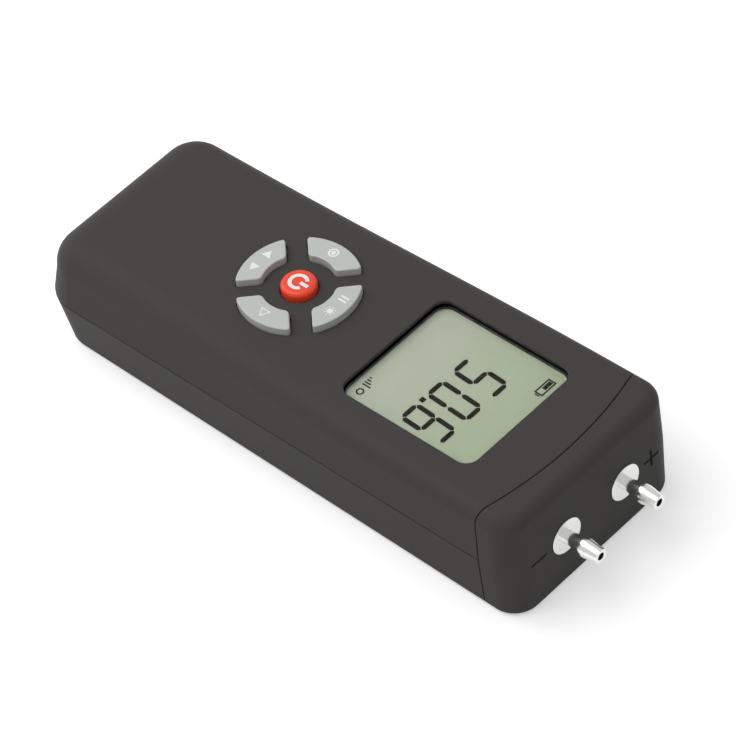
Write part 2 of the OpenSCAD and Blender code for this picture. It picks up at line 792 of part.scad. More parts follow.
module circuit_board() color([0.05, 0.35, 0.15]) {
    difference() {
        block([-board_w / 2, board_far_y, board_z], [board_w / 2, board_near_y, board_top_z]);
        at_board_screws() translate([0, 0, board_z - cut])
            cylinder(d = board_screw_d + 2 * screw_fit, h = board_t + 2 * cut);
    }
}

// A part under the board, w by l by h, about a place
module under_board(x, y, w, l, h) {
    translate([x - w / 2, y - l / 2, board_z - h]) cube([w, l, h]);
}

module controller_chip() color([0.12, 0.12, 0.13]) {
    under_board(0, display_y - window_l / 2, chip_w, chip_w, chip_t);
}

module amplifier_chip() color([0.12, 0.12, 0.13]) {
    under_board(0, sensor_stub_y - sensor_l - amp_l, amp_w, amp_l, chip_t);
}

module quartz_crystal() color([0.75, 0.75, 0.76]) {
    translate([chip_w + crystal_d, display_y - window_l / 2, 0]) rotate(90)
        round_plate(crystal_l, crystal_d, 0.45 * crystal_d, board_z - crystal_d, board_z);
}

// Sensor, tubes and ports

module pressure_sensor() color([0.88, 0.87, 0.83]) {
    under_board(0, sensor_stub_y - sensor_l / 2, sensor_w, sensor_l, sensor_h);
    for (side = [-1, 1]) translate([side * sensor_pitch / 2, sensor_stub_y, sensor_z])
        rotate([-90, 0, 0]) tube_piece(stub_d, stub_d / 2, sensor_stub_len);
}

// A straight hollow round piece along +Z
module tube_piece(outer_d, inner_d, len) {
    difference() {
        cylinder(d = outer_d, h = len);
        translate([0, 0, -cut]) cylinder(d = inner_d, h = len + 2 * cut);
    }
}

// A tube from the sensor's stub to the port's stub, on one side, straight on both stubs
module inner_tube(side) {
    translate([side * sensor_pitch / 2, sensor_stub_y + sensor_stub_len, sensor_z])
        curved_tube(atan2(tube_shift_z, side * tube_shift_x),
                    [0, 0, tube_shift, tube_shift], tube_bend_len * tube_y_shares,
                    tube_d, tube_bore_d, tube_rings, 16,
                    sensor_stub_len - stub_bare, stub_len - stub_bare);
}

module plus_tube() color([0.85, 0.86, 0.84, 0.7]) inner_tube(-1);
module minus_tube() color([0.85, 0.86, 0.84, 0.7]) inner_tube(1);

// A hose port along +Y, turned in one piece
module hose_port(side) {
    flange_y = half_l + flange_rise;
    tip_y = half_l + port_reach;
    land_y = tip_y - barb_cone;
    head_y = land_y - barb_land;
    bore_r = port_bore_d / 2;
    translate([side * port_x, 0, port_z]) rotate([-90, 0, 0]) rotate_extrude()
        polygon([[bore_r, stub_y], [stub_d / 2, stub_y], [stub_d / 2, shank_y],
                 [shank_d / 2, shank_y], [shank_d / 2, flange_y - flange_t],
                 [flange_d / 2, flange_y - flange_t], [flange_d / 2, flange_y],
                 [neck_d / 2, flange_y], [neck_d / 2, head_y], [barb_d / 2, head_y],
                 [barb_d / 2, land_y], [tip_d / 2, tip_y], [bore_r, tip_y]]);
}

module plus_port() color([0.80, 0.80, 0.80]) hose_port(-1);
module minus_port() color([0.80, 0.80, 0.80]) hose_port(1);

module port_nuts() color([0.80, 0.72, 0.45]) {
    for (side = [-1, 1]) translate([side * port_x, nut_y, port_z]) rotate([-90, 0, 0])
        difference() {
            cylinder(d = nut_corners_d, h = nut_t, $fn = 6);
            translate([0, 0, -cut]) cylinder(d = shank_d + 2 * shank_fit, h = nut_t + 2 * cut);
        }
}

// Battery

module battery() color([0.25, 0.27, 0.30]) {
    socket_x = terminal_pitch / 2;
    translate([0, battery_far_y, battery_mid_z]) rotate([-90, 0, 0])
        round_plate(battery_w, battery_t, battery_w / 10, 0, battery_l);
    translate([-socket_x, battery_y, battery_mid_z]) rotate([-90, 0, 0])
        cylinder(d = terminal_d, h = terminal_h);
    translate([socket_x, battery_y, battery_mid_z]) rotate([-90, 0, 0])
        difference() {
            cylinder(d = socket_d, h = terminal_h);
            translate([0, 0, terminal_h / 3]) cylinder(d = terminal_d, h = terminal_h);
        }
}

module battery_snap() color([0.10, 0.10, 0.10]) {
    socket_x = terminal_pitch / 2;
    depth = terminal_h + cut;
    difference() {
        block([-battery_w / 2, snap_y, battery_mid_z - snap_h / 2],
              [battery_w / 2, snap_y + snap_t, battery_mid_z + snap_h / 2]);
        translate([-socket_x, snap_y - cut, battery_mid_z]) rotate([-90, 0, 0])
            cylinder(d = terminal_d + 2 * snap_fit, h = depth);
        translate([socket_x, snap_y - cut, battery_mid_z]) rotate([-90, 0, 0])
            cylinder(d = socket_d + 2 * snap_fit, h = depth);
    }
}

// A point and a direction on a cubic curve through four values
function curve(v, t) = pow(1 - t, 3) * v[0] + 3 * t * pow(1 - t, 2) * v[1]
                       + 3 * t * t * (1 - t) * v[2] + pow(t, 3) * v[3];
function slope(v, t) = pow(1 - t, 2) * (v[1] - v[0]) + 2 * t * (1 - t) * (v[2] - v[1])
                       + t * t * (v[3] - v[2]);

// A tube along a cubic curve from the origin, in the plane of +Y and a line that leans from
// +X towards +Z. It goes by xs along that line and by ys along +Y, and runs on straight by
// before ahead of the curve and by after past it.
module curved_tube(lean, xs, ys, outer_d, inner_d, rings, sides, before = 0, after = 0) {
    steps = concat(before > 0 ? [[0, -before]] : [], [for (k = [0 : rings]) [k / rings, 0]],
                   after > 0 ? [[1, after]] : []);
    function ring(step, r) = let (t = step[0], go = [slope(xs, t), slope(ys, t)], way = go / norm(go))
        [for (i = [0 : sides - 1]) let (a = 360 * i / sides)
            [curve(xs, t) + step[1] * way[0] + r * sin(a) * way[1],
             curve(ys, t) + step[1] * way[1] - r * sin(a) * way[0], r * cos(a)]];
    // Triangles between two rings of points, where the second is further along
    function band(low, high) = [for (i = [0 : sides - 1]) let (j = (i + 1) % sides)
        each [[low + i, high + i, high + j], [low + i, high + j, low + j]]];
    n = sides * len(steps);
    end = n - sides;
    outer = [for (step = steps) each ring(step, outer_d / 2)];
    inner = inner_d > 0 ? [for (step = steps) each ring(step, inner_d / 2 / cos(180 / sides))] : [];
    skin = [for (k = [0 : len(steps) - 2]) each band(k * sides, (k + 1) * sides)];
    bore = [for (k = [0 : len(steps) - 2]) each band(n + (k + 1) * sides, n + k * sides)];
    ends = inner_d > 0 ? concat(bore, band(n, 0), band(end, n + end))
                       : [[for (i = [0 : sides - 1]) i], [for (i = [sides - 1 : -1 : 0]) end + i]];
    rotate([0, -lean, 0]) polyhedron(points = concat(outer, inner), faces = concat(skin, ends));
}

// A lead from the snap to the board: it leaves along +Y and arrives along +Z
module lead(side) {
    translate([side * terminal_pitch / 2, snap_y + snap_t, battery_mid_z])
        curved_tube(90, (board_z - battery_mid_z) * lead_z_shares, lead_run * lead_y_shares,
                    lead_d, 0, lead_rings, 8);
}

module red_lead() color([0.75, 0.10, 0.08]) lead(-1);
module black_lead() color([0.06, 0.06, 0.06]) lead(1);

// Screws

// A screw along +Z: a round head under a shank, seated at the origin
module screw(head_d, head_h, shank, len) {
    translate([0, 0, -head_h]) cylinder(d = head_d, h = head_h);
    cylinder(d = shank, h = len);
}

module case_screws() color([0.30, 0.30, 0.31]) {
    at_case_screws() translate([0, 0, case_head_depth])
        screw(case_head_d, case_head_h, case_screw_d, case_screw_top - case_head_depth);
}

module board_screws() color([0.70, 0.70, 0.72]) {
    at_board_screws() translate([0, 0, board_z])
        screw(board_head_d, board_head_h, board_screw_d, board_t + board_screw_bite);
}

front_cover();
rear_cover();
end_cap();
battery_door();
window_lens();
display_frame();
display_glass();
contact_strips();
light_box();
power_key();
upper_key();
lower_key();
left_key();
right_key();
power_plunger();
upper_plunger();
lower_plunger();
left_plunger();
right_plunger();
key_switches();
circuit_board();
controller_chip();
amplifier_chip();
quartz_crystal();
pressure_sensor();
plus_tube();
minus_tube();
plus_port();
minus_port();
port_nuts();
battery();
battery_snap();
red_lead();
black_lead();
case_screws();
board_screws();
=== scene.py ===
"""Looks of a handheld digital manometer, built around its packed construction.

The meter lies on its back: +Z comes out of the display, +Y runs along the hose ports and
+X is the reader's right. All sizes are in metres.
"""
import math

import bmesh
import bpy
from mathutils import Matrix, Vector


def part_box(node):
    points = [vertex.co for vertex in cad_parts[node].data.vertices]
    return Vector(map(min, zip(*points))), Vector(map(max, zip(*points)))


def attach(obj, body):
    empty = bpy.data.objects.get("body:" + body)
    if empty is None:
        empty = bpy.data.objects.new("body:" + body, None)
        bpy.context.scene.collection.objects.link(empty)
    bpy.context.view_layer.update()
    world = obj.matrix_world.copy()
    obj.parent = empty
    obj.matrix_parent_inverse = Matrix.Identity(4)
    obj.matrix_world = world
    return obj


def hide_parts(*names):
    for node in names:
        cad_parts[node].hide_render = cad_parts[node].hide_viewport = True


bl_info = {
    "name": "Handheld Manometer",
    "version": (1, 0, 0),
    "blender": (4, 5, 0),
    "location": "View3D > Sidebar > Manometer",
    "description": "Dresses the packed manometer in moulded shells, keys, display and plated ports",
    "category": "Add Mesh",
}

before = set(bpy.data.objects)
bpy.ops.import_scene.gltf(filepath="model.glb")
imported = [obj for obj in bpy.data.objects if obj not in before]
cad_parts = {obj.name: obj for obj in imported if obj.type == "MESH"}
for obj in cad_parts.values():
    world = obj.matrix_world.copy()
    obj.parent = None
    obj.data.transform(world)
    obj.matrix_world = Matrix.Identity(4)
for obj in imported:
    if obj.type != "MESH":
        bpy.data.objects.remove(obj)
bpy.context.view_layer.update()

MM = 0.001
# How near two places count as one, and how near vertices are merged
TOUCH = 1e-7
WELD = 1e-6
# How far a cutting block reaches past what it cuts
OVERRUN = 1 * MM

DOOR_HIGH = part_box("battery_door")[1]
BATTERY_LOW, BATTERY_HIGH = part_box("battery")
SNAP_LOW, SNAP_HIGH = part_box("battery_snap")
LENS_LOW, LENS_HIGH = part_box("window_lens")
GLASS_LOW, GLASS_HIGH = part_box("display_glass")
POWER_LOW, POWER_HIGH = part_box("power_key")
UPPER_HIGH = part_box("upper_key")[1]
PORT_LOW, PORT_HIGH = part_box("minus_port")
SCREW_LOW, SCREW_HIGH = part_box("case_screws")

HALF_W, END_Y, CASE_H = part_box("end_cap")[1]
GRIP_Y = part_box("rear_cover")[0].y
CASE_L = END_Y - GRIP_Y
DISPLAY_Y = (LENS_LOW.y + LENS_HIGH.y) / 2
KEYS_Y = (POWER_LOW.y + POWER_HIGH.y) / 2
PORT_Z = (PORT_LOW.z + PORT_HIGH.z) / 2
PORT_X = (PORT_LOW.x + PORT_HIGH.x) / 2


# Settings

def length(name, description, value):
    """A length in the sidebar, whose default is given in millimetres."""
    return bpy.props.FloatProperty(name=name, description=description, default=value * MM, unit="LENGTH",
                                   precision=4)


def degrees(name, description, value):
    """An angle in the sidebar, whose default is given in degrees."""
    return bpy.props.FloatProperty(name=name, description=description, default=math.radians(value),
                                   subtype="ANGLE")


def tint(name, description, value):
    """A colour in the sidebar."""
    return bpy.props.FloatVectorProperty(name=name, description=description, default=value,
                                         size=3, min=0.0, max=1.0, subtype="COLOR")


def share(name, description, value, top=1.0):
    """A plain number in the sidebar."""
    return bpy.props.FloatProperty(name=name, description=description, default=value, min=0.0, max=top)


class MeterCaseSettings(bpy.types.PropertyGroup):
    """Sizes of the case."""
    parting_h: length("Parting height", "Height of the line between the two covers", 20.6)
    shell: length("Shell", "Thickness of the rear cover's and the end cap's skin", 1.8)
    lip: length("Window lip", "Thickness of the front cover round the window", 1.45)
    far_corner_r: length("Grip corners", "Radius of the corners at the grip end", 14.5)
    near_corner_r: length("Port corners", "Radius of the corners at the port end", 9.5)
    top_r_far: length("Top edge at the grip", "Radius of the top edge at the grip end", 11.0)
    top_r_near: length("Top edge at the ports", "Radius of the top edge at the port end", 4.5)
    back_r: length("Back edge", "Radius of the edge round the back", 2.2)
    front_draft_far: length("Front lean at the grip", "Lean of the front walls", 2.1)
    front_draft_near: length("Front lean at the ports", "Lean of the front walls", 0.4)
    back_draft_far: length("Rear lean at the grip", "Lean of the rear walls", 3.3)
    back_draft_near: length("Rear lean at the ports", "Lean of the rear walls", 0.3)
    top_swell: length("Swell", "How far the top edges draw in at the grip", 0.5)
    seam: length("Seam", "Open line between the shells", 0.3)
    seam_r: length("Seam arch", "Radius of the arched seam before the end cap", 138.0)
    cap_len: length("End cap", "Length of the end cap along its middle", 9.0)
    edge: length("Seam edge", "Rounding of the shells' edges at seams and openings", 0.28)
    rim: length("Rim", "Width of the even rim of faces round each opening", 1.0)
    window_side: length("Window side", "Distance from the case's side to the window", 13.35)
    window_l: length("Window length", "Length of the window", 53.6)
    window_r: length("Window corners", "Radius of the window's corners", 4.5)
    sign_len: length("Signs", "Length of the plus and minus signs", 7.0)
    sign_stroke: length("Sign stroke", "Width of the signs' strokes", 1.0)
    sign_depth: length("Sign depth", "Depth of the signs", 0.8)
    sign_gap: length("Sign gap", "Distance from a flange to its sign", 2.6)


class MeterKeySettings(bpy.types.PropertyGroup):
    """Sizes of the keys."""
    out_r: length("Outer radius", "Outer radius of the ring of grey keys", 20.2)
    in_r: length("Inner radius", "Inner radius of the ring of grey keys", 12.2)
    gap: length("Gap", "Distance between neighbouring grey keys", 7.0)
    corner_r: length("Corners", "Radius of the grey keys' corners", 1.2)
    fit: length("Play", "Play round each key in its hole", 0.3)
    lap: length("Flange", "How far a key's flange reaches past its hole", 1.0)
    flange_t: length("Flange thickness", "Thickness of a key's flange", 1.2)
    flange_drop: length("Flange depth", "From the front face down to a flange's lower face", 3.7)
    root: length("Root", "How far a grey key's walls reach below the front face", 2.0)
    edge: length("Edge", "Rounding of the grey keys' upper edge", 0.45)
    power_r: length("Power key", "Radius of the power key", 5.9)
    power_edge: length("Power key edge", "Radius of the power key's upper edge", 1.5)
    stem_r: length("Stem", "Radius of the keys' stems", 2.0)
    mark_h: length("Print", "Thickness of the printed marks", 0.03)
    mark: length("Mark height", "Height of the marks on the grey keys", 3.2)
    stroke: length("Mark stroke", "Width of the marks' strokes", 0.75)
    power_mark_r: length("Power mark", "Outer radius of the mark on the power key", 3.4)
    power_stroke: length("Power mark stroke", "Width of the power mark's strokes", 1.25)
    power_bar: length("Power mark bar", "Length of the power mark's bar", 3.2)
    power_bar_low: length("Power mark bar's foot", "From the key's middle to the bar's lower end", 0.75)


class MeterDisplaySettings(bpy.types.PropertyGroup):
    """Sizes of the figures on the display."""
    reading: bpy.props.StringProperty(name="Reading", description="Figures shown", default="50.6")
    digit_w: length("Digit width", "Width of a digit", 8.3)
    digit_h: length("Digit height", "Height of a digit", 18.0)
    pitch: length("Pitch", "Distance from digit to digit", 11.95)
    stroke: length("Stroke", "Width of a segment", 1.75)
    gap: length("Gap", "Gap between segments", 0.16)
    last_x: length("Last digit", "Middle of the last digit from the middle of the window", 16.35)
    middle_y: length("Row", "Middle of the digits above the middle of the window", 3.1)
    slant: share("Slant", "Lean of the digits", 0.052)
    point: length("Point", "Side of the decimal point", 1.9)
    film: length("Film", "Thickness of the shown figures", 0.02)
    sign_h: length("Sign height", "Height of the small signs", 3.3)
    sign_line: length("Sign line", "Width of the small signs' lines", 0.55)
    sign_x: length("Sign place, across", "Middle of the small signs from the middle of the window", 16.6)
    sign_y: length("Sign place, along", "Middle of the small signs from the middle of the window", 21.6)


class MeterPortSettings(bpy.types.PropertyGroup):
    """Sizes of the hose ports."""
    flange_r: length("Flange", "Radius of the flange", 6.3)
    flange_t: length("Flange thickness", "Thickness of the flange", 1.2)
    flange_rise: length("Flange rise", "How far the flange stands out of the end cap", 0.3)
    neck_r: length("Neck", "Radius of the neck behind the barb", 2.35)
    barb_r: length("Barb", "Largest radius of the barb", 3.15)
    land: length("Land", "Length of the barb's cylinder", 2.3)
    cone: length("Cone", "Length of the barb's cone", 4.8)
    tip_r: length("Tip", "Radius of the tip", 2.4)
    bore_r: length("Bore", "Radius of the bore", 1.35)
    shank_r: length("Shank", "Radius of the shank", 3.0)
    stub_r: length("Stub", "Radius of the inner stub", 1.8)
    stub_len: length("Stub length", "Length of the inner stub", 6.5)
    fit: length("Play", "Play round the shank and the flange", 0.1)
    nose: length("Edges", "Rounding of the turned edges", 0.12)
    flange_edge: length("Flange finish", "How far the flange's dull finish runs up the neck", 0.2)


class MeterBackSettings(bpy.types.PropertyGroup):
    """Sizes of the battery bay, its door and the screws."""
    door_w: length("Door width", "Width of the battery door", 34.0)
    tongue_w: length("Tongue", "Width of the door's tongues", 1.5)
    tongue_t: length("Tongue thickness", "Thickness of the door's tongues", 1.0)
    bar_len: length("End bar", "Length of the door's end bar", 8.6)
    fit: length("Door play", "Play round the door", 0.2)
    battery_fit: length("Battery play", "Play round the battery", 0.4)
    bay_wall: length("Bay wall", "Thickness of the bay's walls", 1.5)
    head_r: length("Screw head", "Radius of the case screws' heads", 2.7)
    head_h: length("Head height", "Height of the case screws' heads", 2.0)
    head_edge: length("Head edge", "Rounding of the case screws' heads", 0.35)
    head_depth: length("Head depth", "Depth of the screws' seats under the back", 6.0)
    shank_r: length("Screw", "Radius of the case screws", 1.5)
    screw_fit: length("Screw play", "Play round the screws and their heads", 0.2)
    head_wall: length("Seat wall", "Wall round the screw heads", 1.2)
    cross_l: length("Cross recess", "Length of the recess in a screw head", 3.4)
    cross_w: length("Cross width", "Width of the recess in a screw head", 0.75)
    cross_deep: length("Cross depth", "Depth of the recess in a screw head", 1.2)
    near_side: length("Port screws, side", "From the case's side to the screws at the ports", 5.6)
    near_end: length("Port screws, end", "From the port end to its screws", 22.6)
    far_side: length("Grip screws, side", "From the case's side to the screws at the grip", 12.5)
    far_end: length("Grip screws, end", "From the grip end to its screws", 16.3)


class MeterFinishSettings(bpy.types.PropertyGroup):
    """Colours of the finishes."""
    housing: tint("Housing", "Charcoal plastic", (0.0635, 0.0610, 0.0595))
    key_grey: tint("Grey keys", "Grey silicone", (0.535, 0.553, 0.535))
    key_red: tint("Power key", "Red silicone", (1.0, 0.068, 0.024))
    print_white: tint("Print", "White print on the keys", (0.86, 0.87, 0.86))
    display: tint("Display", "Display glass towards the ports", (0.236, 0.285, 0.186))
    display_pale: tint("Display, pale", "Display glass towards the grip", (0.281, 0.304, 0.246))
    segment: tint("Segments", "Dark segments of the display", (0.009, 0.009, 0.006))
    plated: tint("Plating", "Nickel plate", (0.86, 0.86, 0.85))


class MeterStageSettings(bpy.types.PropertyGroup):
    """Camera and lamps."""
    azimuth: degrees("Azimuth", "Camera's turn about the object", 137.87)
    elevation: degrees("Elevation", "Camera's height above the floor", 46.34)
    roll: degrees("Roll", "Camera's roll", -7.79)
    distance: length("Distance", "From the camera to the object", 1572.2)
    shift_x: length("Aside", "Camera's shift to its right", 3.8)
    shift_y: length("Up", "Camera's shift upwards", 9.2)
    middle_y: length("Aim along", "Point on the case's long axis that the camera aims at", 3.6)
    middle_z: length("Aim height", "Height of the point that the camera aims at", 2.6)
    lens: bpy.props.FloatProperty(name="Lens", description="Focal length in millimetres", default=240.0)
    overhead: share("Overhead lamp", "Power of the overhead lamp in watts", 5.2, 100.0)
    side: share("Side lamp", "Power of the side lamp in watts", 2.0, 100.0)
    sky: share("Surroundings", "Strength of the white surroundings", 0.5)
    mirrored: share("Mirrored surroundings", "Their strength in a mirroring surface", 0.7)


SETTINGS = {
    "meter_case": MeterCaseSettings,
    "meter_keys": MeterKeySettings,
    "meter_display": MeterDisplaySettings,
    "meter_ports": MeterPortSettings,
    "meter_back": MeterBackSettings,
    "meter_finish": MeterFinishSettings,
    "meter_stage": MeterStageSettings,
}


# Shader node groups and materials

def set_input(tree, socket, value):
    """Gives an input a value, or links another node's output to it."""
    if isinstance(value, bpy.types.NodeSocket):
        tree.links.new(value, socket)
    else:
        socket.default_value = value


def feed(tree, node, **inputs):
    """Sets a node's inputs by name, with _ for a space, and gives the node back."""
    for name, value in inputs.items():
        set_input(tree, node.inputs[name.replace("_", " ")], value)
    return node


def add(tree, kind, **inputs):
    """A node of a kind, with its inputs by name."""
    return feed(tree, tree.nodes.new(kind), **inputs)


def calc(tree, operation, *values):
    """The result of a Math node on numbers or other nodes' outputs."""
    made = tree.nodes.new("ShaderNodeMath")
    made.operation = operation
    for slot, value in enumerate(values):
        set_input(tree, made.inputs[slot], value)
    return made.outputs[0]


def mix_colors(tree, way, first, second):
    """The colour at a share of the way from a first colour to a second."""
    made = tree.nodes.new("ShaderNodeMix")
    made.data_type = "RGBA"
    for slot, value in ((0, way), (6, first), (7, second)):
        set_input(tree, made.inputs[slot], value)
    return made.outputs[2]


def object_place(tree):
    """The place on the surface, in Object coordinates."""
    return tree.nodes.new("ShaderNodeTexCoord").outputs["Object"]


def object_axes(tree):
    """The X, Y and Z outputs of that place."""
    return add(tree, "ShaderNodeSeparateXYZ", Vector=object_place(tree)).outputs


def seen_by(tree, *kinds):
    """1 for rays of one of the kinds, and 0 for others."""
    path = tree.nodes.new("ShaderNodeLightPath").outputs
    seen = path["Is %s Ray" % kinds[0]]
    for kind in kinds[1:]:
        seen = calc(tree, "MAXIMUM", seen, path["Is %s Ray" % kind])
    return seen


def new_group(name, inputs, outputs):
    """An empty shader group with its inner ends. A socket named Color is a colour, others are numbers."""
    group = bpy.data.node_groups.new(name, "ShaderNodeTree")
    kinds = {"Color": "NodeSocketColor"}
    for label, value in inputs.items():
        kind = kinds.get(label, "NodeSocketFloat")
        group.interface.new_socket(label, in_out="INPUT", socket_type=kind).default_value = value
    for label in outputs:
        group.interface.new_socket(label, in_out="OUTPUT", socket_type=kinds.get(label, "NodeSocketFloat"))
    return group, group.nodes.new("NodeGroupInput").outputs, group.nodes.new("NodeGroupOutput")


def moulded_group():
    """Moulded surface: fine grain in height and roughness, and a faint cloudiness in its colour."""
    name = "moulded surface"
    if name in bpy.data.node_groups:
        return bpy.data.node_groups[name]
    group, into, out = new_group(
        name, {"Color": (0.5, 0.5, 0.5, 1), "Cloud": 0.05, "Roughness": 0.5, "Spread": 0.06, "Grain": 2600.0},
        ("Color", "Roughness", "Height"))
    place = object_place(group)
    grain = add(group, "ShaderNodeTexNoise", Vector=place, Scale=into["Grain"], Detail=3.0, Roughness=0.55)
    clouds = add(group, "ShaderNodeTexNoise", Vector=place, Scale=38.0, Detail=4.0, Roughness=0.6)
    centred = calc(group, "SUBTRACT", clouds.outputs["Fac"], 0.5)
    shade = group.nodes.new("ShaderNodeVectorMath")
    shade.operation = "SCALE"
    set_input(group, shade.inputs[0], into["Color"])
    feed(group, shade, Scale=calc(group, "ADD", calc(group, "MULTIPLY", centred, into["Cloud"]), 1.0))
    both = calc(group, "ADD", calc(group, "SUBTRACT", grain.outputs["Fac"], 0.5), centred)
    rough = calc(group, "ADD", into["Roughness"], calc(group, "MULTIPLY", both, into["Spread"]))
    feed(group, out, Color=shade.outputs[0], Roughness=rough, Height=grain.outputs["Fac"])
    return group


def turned_group():
    """Turned metal: fine rings about the axis of a port, in height and roughness, with a dull flange."""
    name = "turned metal"
    if name in bpy.data.node_groups:
        return bpy.data.node_groups[name]
    group, into, out = new_group(
        name, {"Axis X": 0.0, "Axis Z": 0.0, "Rings": 9000.0, "Roughness": 0.15, "Spread": 0.08,
               "Flange Y": 0.0, "Dull": 0.1}, ("Roughness", "Height"))
    place = object_axes(group)
    x = calc(group, "SUBTRACT", place["X"], into["Axis X"])
    z = calc(group, "SUBTRACT", place["Z"], into["Axis Z"])
    square = calc(group, "ADD", calc(group, "MULTIPLY", x, x), calc(group, "MULTIPLY", z, z))
    along = add(group, "ShaderNodeCombineXYZ", X=calc(group, "SQRT", square), Y=place["Y"])
    rings = add(group, "ShaderNodeTexNoise", Vector=along.outputs[0], Scale=into["Rings"], Detail=2.0,
                Roughness=0.5)
    uneven = calc(group, "MULTIPLY", calc(group, "SUBTRACT", rings.outputs["Fac"], 0.5), into["Spread"])
    flange = calc(group, "LESS_THAN", place["Y"], into["Flange Y"])
    duller = calc(group, "ADD", into["Roughness"], calc(group, "MULTIPLY", flange, into["Dull"]))
    feed(group, out, Roughness=calc(group, "ADD", duller, uneven), Height=rings.outputs["Fac"])
    return group


def new_material(name):
    """A material with its node tree, its Principled shader and its output."""
    material = bpy.data.materials.new(name)
    material.use_nodes = True
    tree = material.node_tree
    return material, tree, tree.nodes["Principled BSDF"], tree.nodes["Material Output"]


def surface_group(tree, shader, group, depth, **inputs):
    """Places a surface group in a material, with its roughness and its height, and gives its outputs."""
    surface = tree.nodes.new("ShaderNodeGroup")
    surface.node_tree = group
    outputs = feed(tree, surface, **inputs).outputs
    bump = add(tree, "ShaderNodeBump", Strength=1.0, Distance=depth, Height=outputs["Height"])
    feed(tree, shader, Roughness=outputs["Roughness"], Normal=bump.outputs["Normal"])
    return outputs


def moulded(name, color, roughness, grain=2600.0, depth=0.006 * MM, cloud=0.05, spread=0.06, **sockets):
    """A moulded plastic or rubber with its grain. Other shader values go by socket name."""
    material, tree, shader, _ = new_material(name)
    outputs = surface_group(tree, shader, moulded_group(), depth, Color=(*color, 1), Cloud=cloud,
                            Roughness=roughness, Spread=spread, Grain=grain)
    feed(tree, shader, Base_Color=outputs["Color"], **sockets)
    return material


def turned(name, color, axis_x, axis_z, flange_y):
    """Plated metal turned about an axis along +Y."""
    material, tree, shader, _ = new_material(name)
    surface_group(tree, shader, turned_group(), 0.0015 * MM, Axis_X=axis_x, Axis_Z=axis_z,
                  Flange_Y=flange_y, Roughness=0.17, Spread=0.10)
    feed(tree, shader, Base_Color=(*color, 1), Metallic=1.0)
    return material


def clear_glass(name, tone, roughness, bend):
    """Clear plastic that lamps shine through."""
    material, tree, shader, out = new_material(name)
    feed(tree, shader, Base_Color=(*tone, 1), Roughness=roughness, IOR=bend, Transmission_Weight=1.0)
    open_way = tree.nodes.new("ShaderNodeBsdfTransparent")
    either = tree.nodes.new("ShaderNodeMixShader")
    for slot, output in enumerate((seen_by(tree, "Shadow"), shader.outputs[0], open_way.outputs[0])):
        set_input(tree, either.inputs[slot], output)
    feed(tree, out, Surface=either.outputs[0])
    return material


def display_material(finish):
    """The display's green-grey glass, paler towards the grip and faintly uneven."""
    material, tree, shader, _ = new_material("display glass")
    patches = add(tree, "ShaderNodeTexNoise", Vector=object_place(tree), Scale=45.0, Detail=1.5,
                  Roughness=0.4)
    along = add(tree, "ShaderNodeMapRange", Value=object_axes(tree)["Y"], From_Min=GLASS_HIGH.y,
                From_Max=GLASS_LOW.y)
    uneven = calc(tree, "MULTIPLY", calc(tree, "SUBTRACT", patches.outputs["Fac"], 0.5), 0.5)
    color = mix_colors(tree, calc(tree, "ADD", along.outputs["Result"], uneven), (*finish.display, 1),
                       (*finish.display_pale, 1))
    feed(tree, shader, Base_Color=color, Roughness=0.5, Specular_IOR_Level=0.15)
    return material


def board_material():
    """Green solder mask with the copper's tracks under it."""
    material, tree, shader, _ = new_material("solder mask")
    tracks = add(tree, "ShaderNodeTexBrick", Vector=object_place(tree), Scale=420.0,
                 Color1=(0.015, 0.13, 0.05, 1), Color2=(0.02, 0.17, 0.07, 1), Mortar=(0.05, 0.28, 0.11, 1))
    bump = add(tree, "ShaderNodeBump", Strength=0.6, Distance=0.03 * MM, Height=tracks.outputs["Fac"])
    feed(tree, shader, Base_Color=tracks.outputs["Color"], Normal=bump.outputs["Normal"], Roughness=0.3)
    return material


def battery_material():
    """The battery's jacket with one copper-coloured band, and bare terminals past its end."""
    material, tree, shader, _ = new_material("battery jacket")
    band_share, terminal_gap = 0.72, 0.5 * MM
    y = object_axes(tree)["Y"]
    band = calc(tree, "GREATER_THAN", y, mix(BATTERY_LOW.y, BATTERY_HIGH.y, band_share))
    metal = calc(tree, "GREATER_THAN", y, SNAP_LOW.y - terminal_gap)
    jacket = mix_colors(tree, band, (0.018, 0.019, 0.022, 1), (0.52, 0.27, 0.10, 1))
    feed(tree, shader, Base_Color=mix_colors(tree, metal, jacket, (0.66, 0.65, 0.62, 1)), Metallic=metal,
         Roughness=0.32)
    return material


def housing_plastic():
    """The housing's charcoal plastic."""
    finish = bpy.context.scene.meter_finish
    return bpy.data.materials.get("charcoal plastic") or moulded(
        "charcoal plastic", finish.housing, 0.54, grain=2400.0, depth=0.007 * MM, cloud=0.06,
        Specular_IOR_Level=0.06)


# Pieces

def mix(a, b, way):
    """The number at a share of the way from a to b."""
    return a + (b - a) * way


def loose_object(name, bm):
    """A bmesh as an object that is still being worked on."""
    mesh = bpy.data.meshes.new(name)
    bm.to_mesh(mesh)
    bm.free()
    made = bpy.data.objects.new(name, mesh)
    bpy.context.scene.collection.objects.link(made)
    return made


def solid_object(name, bm):
    """A closed bmesh as an object with its faces outwards."""
    bmesh.ops.recalc_face_normals(bm, faces=bm.faces)
    return loose_object(name, bm)


def taken_mesh(made):
    """The mesh of an object as a bmesh, without the object."""
    bm = bmesh.new()
    bm.from_mesh(made.data)
    bpy.data.objects.remove(made)
    return bm


def coat(piece, material):
    """Gives a piece one material in place of those that it has."""
    piece.data.materials.clear()
    piece.data.materials.append(material)


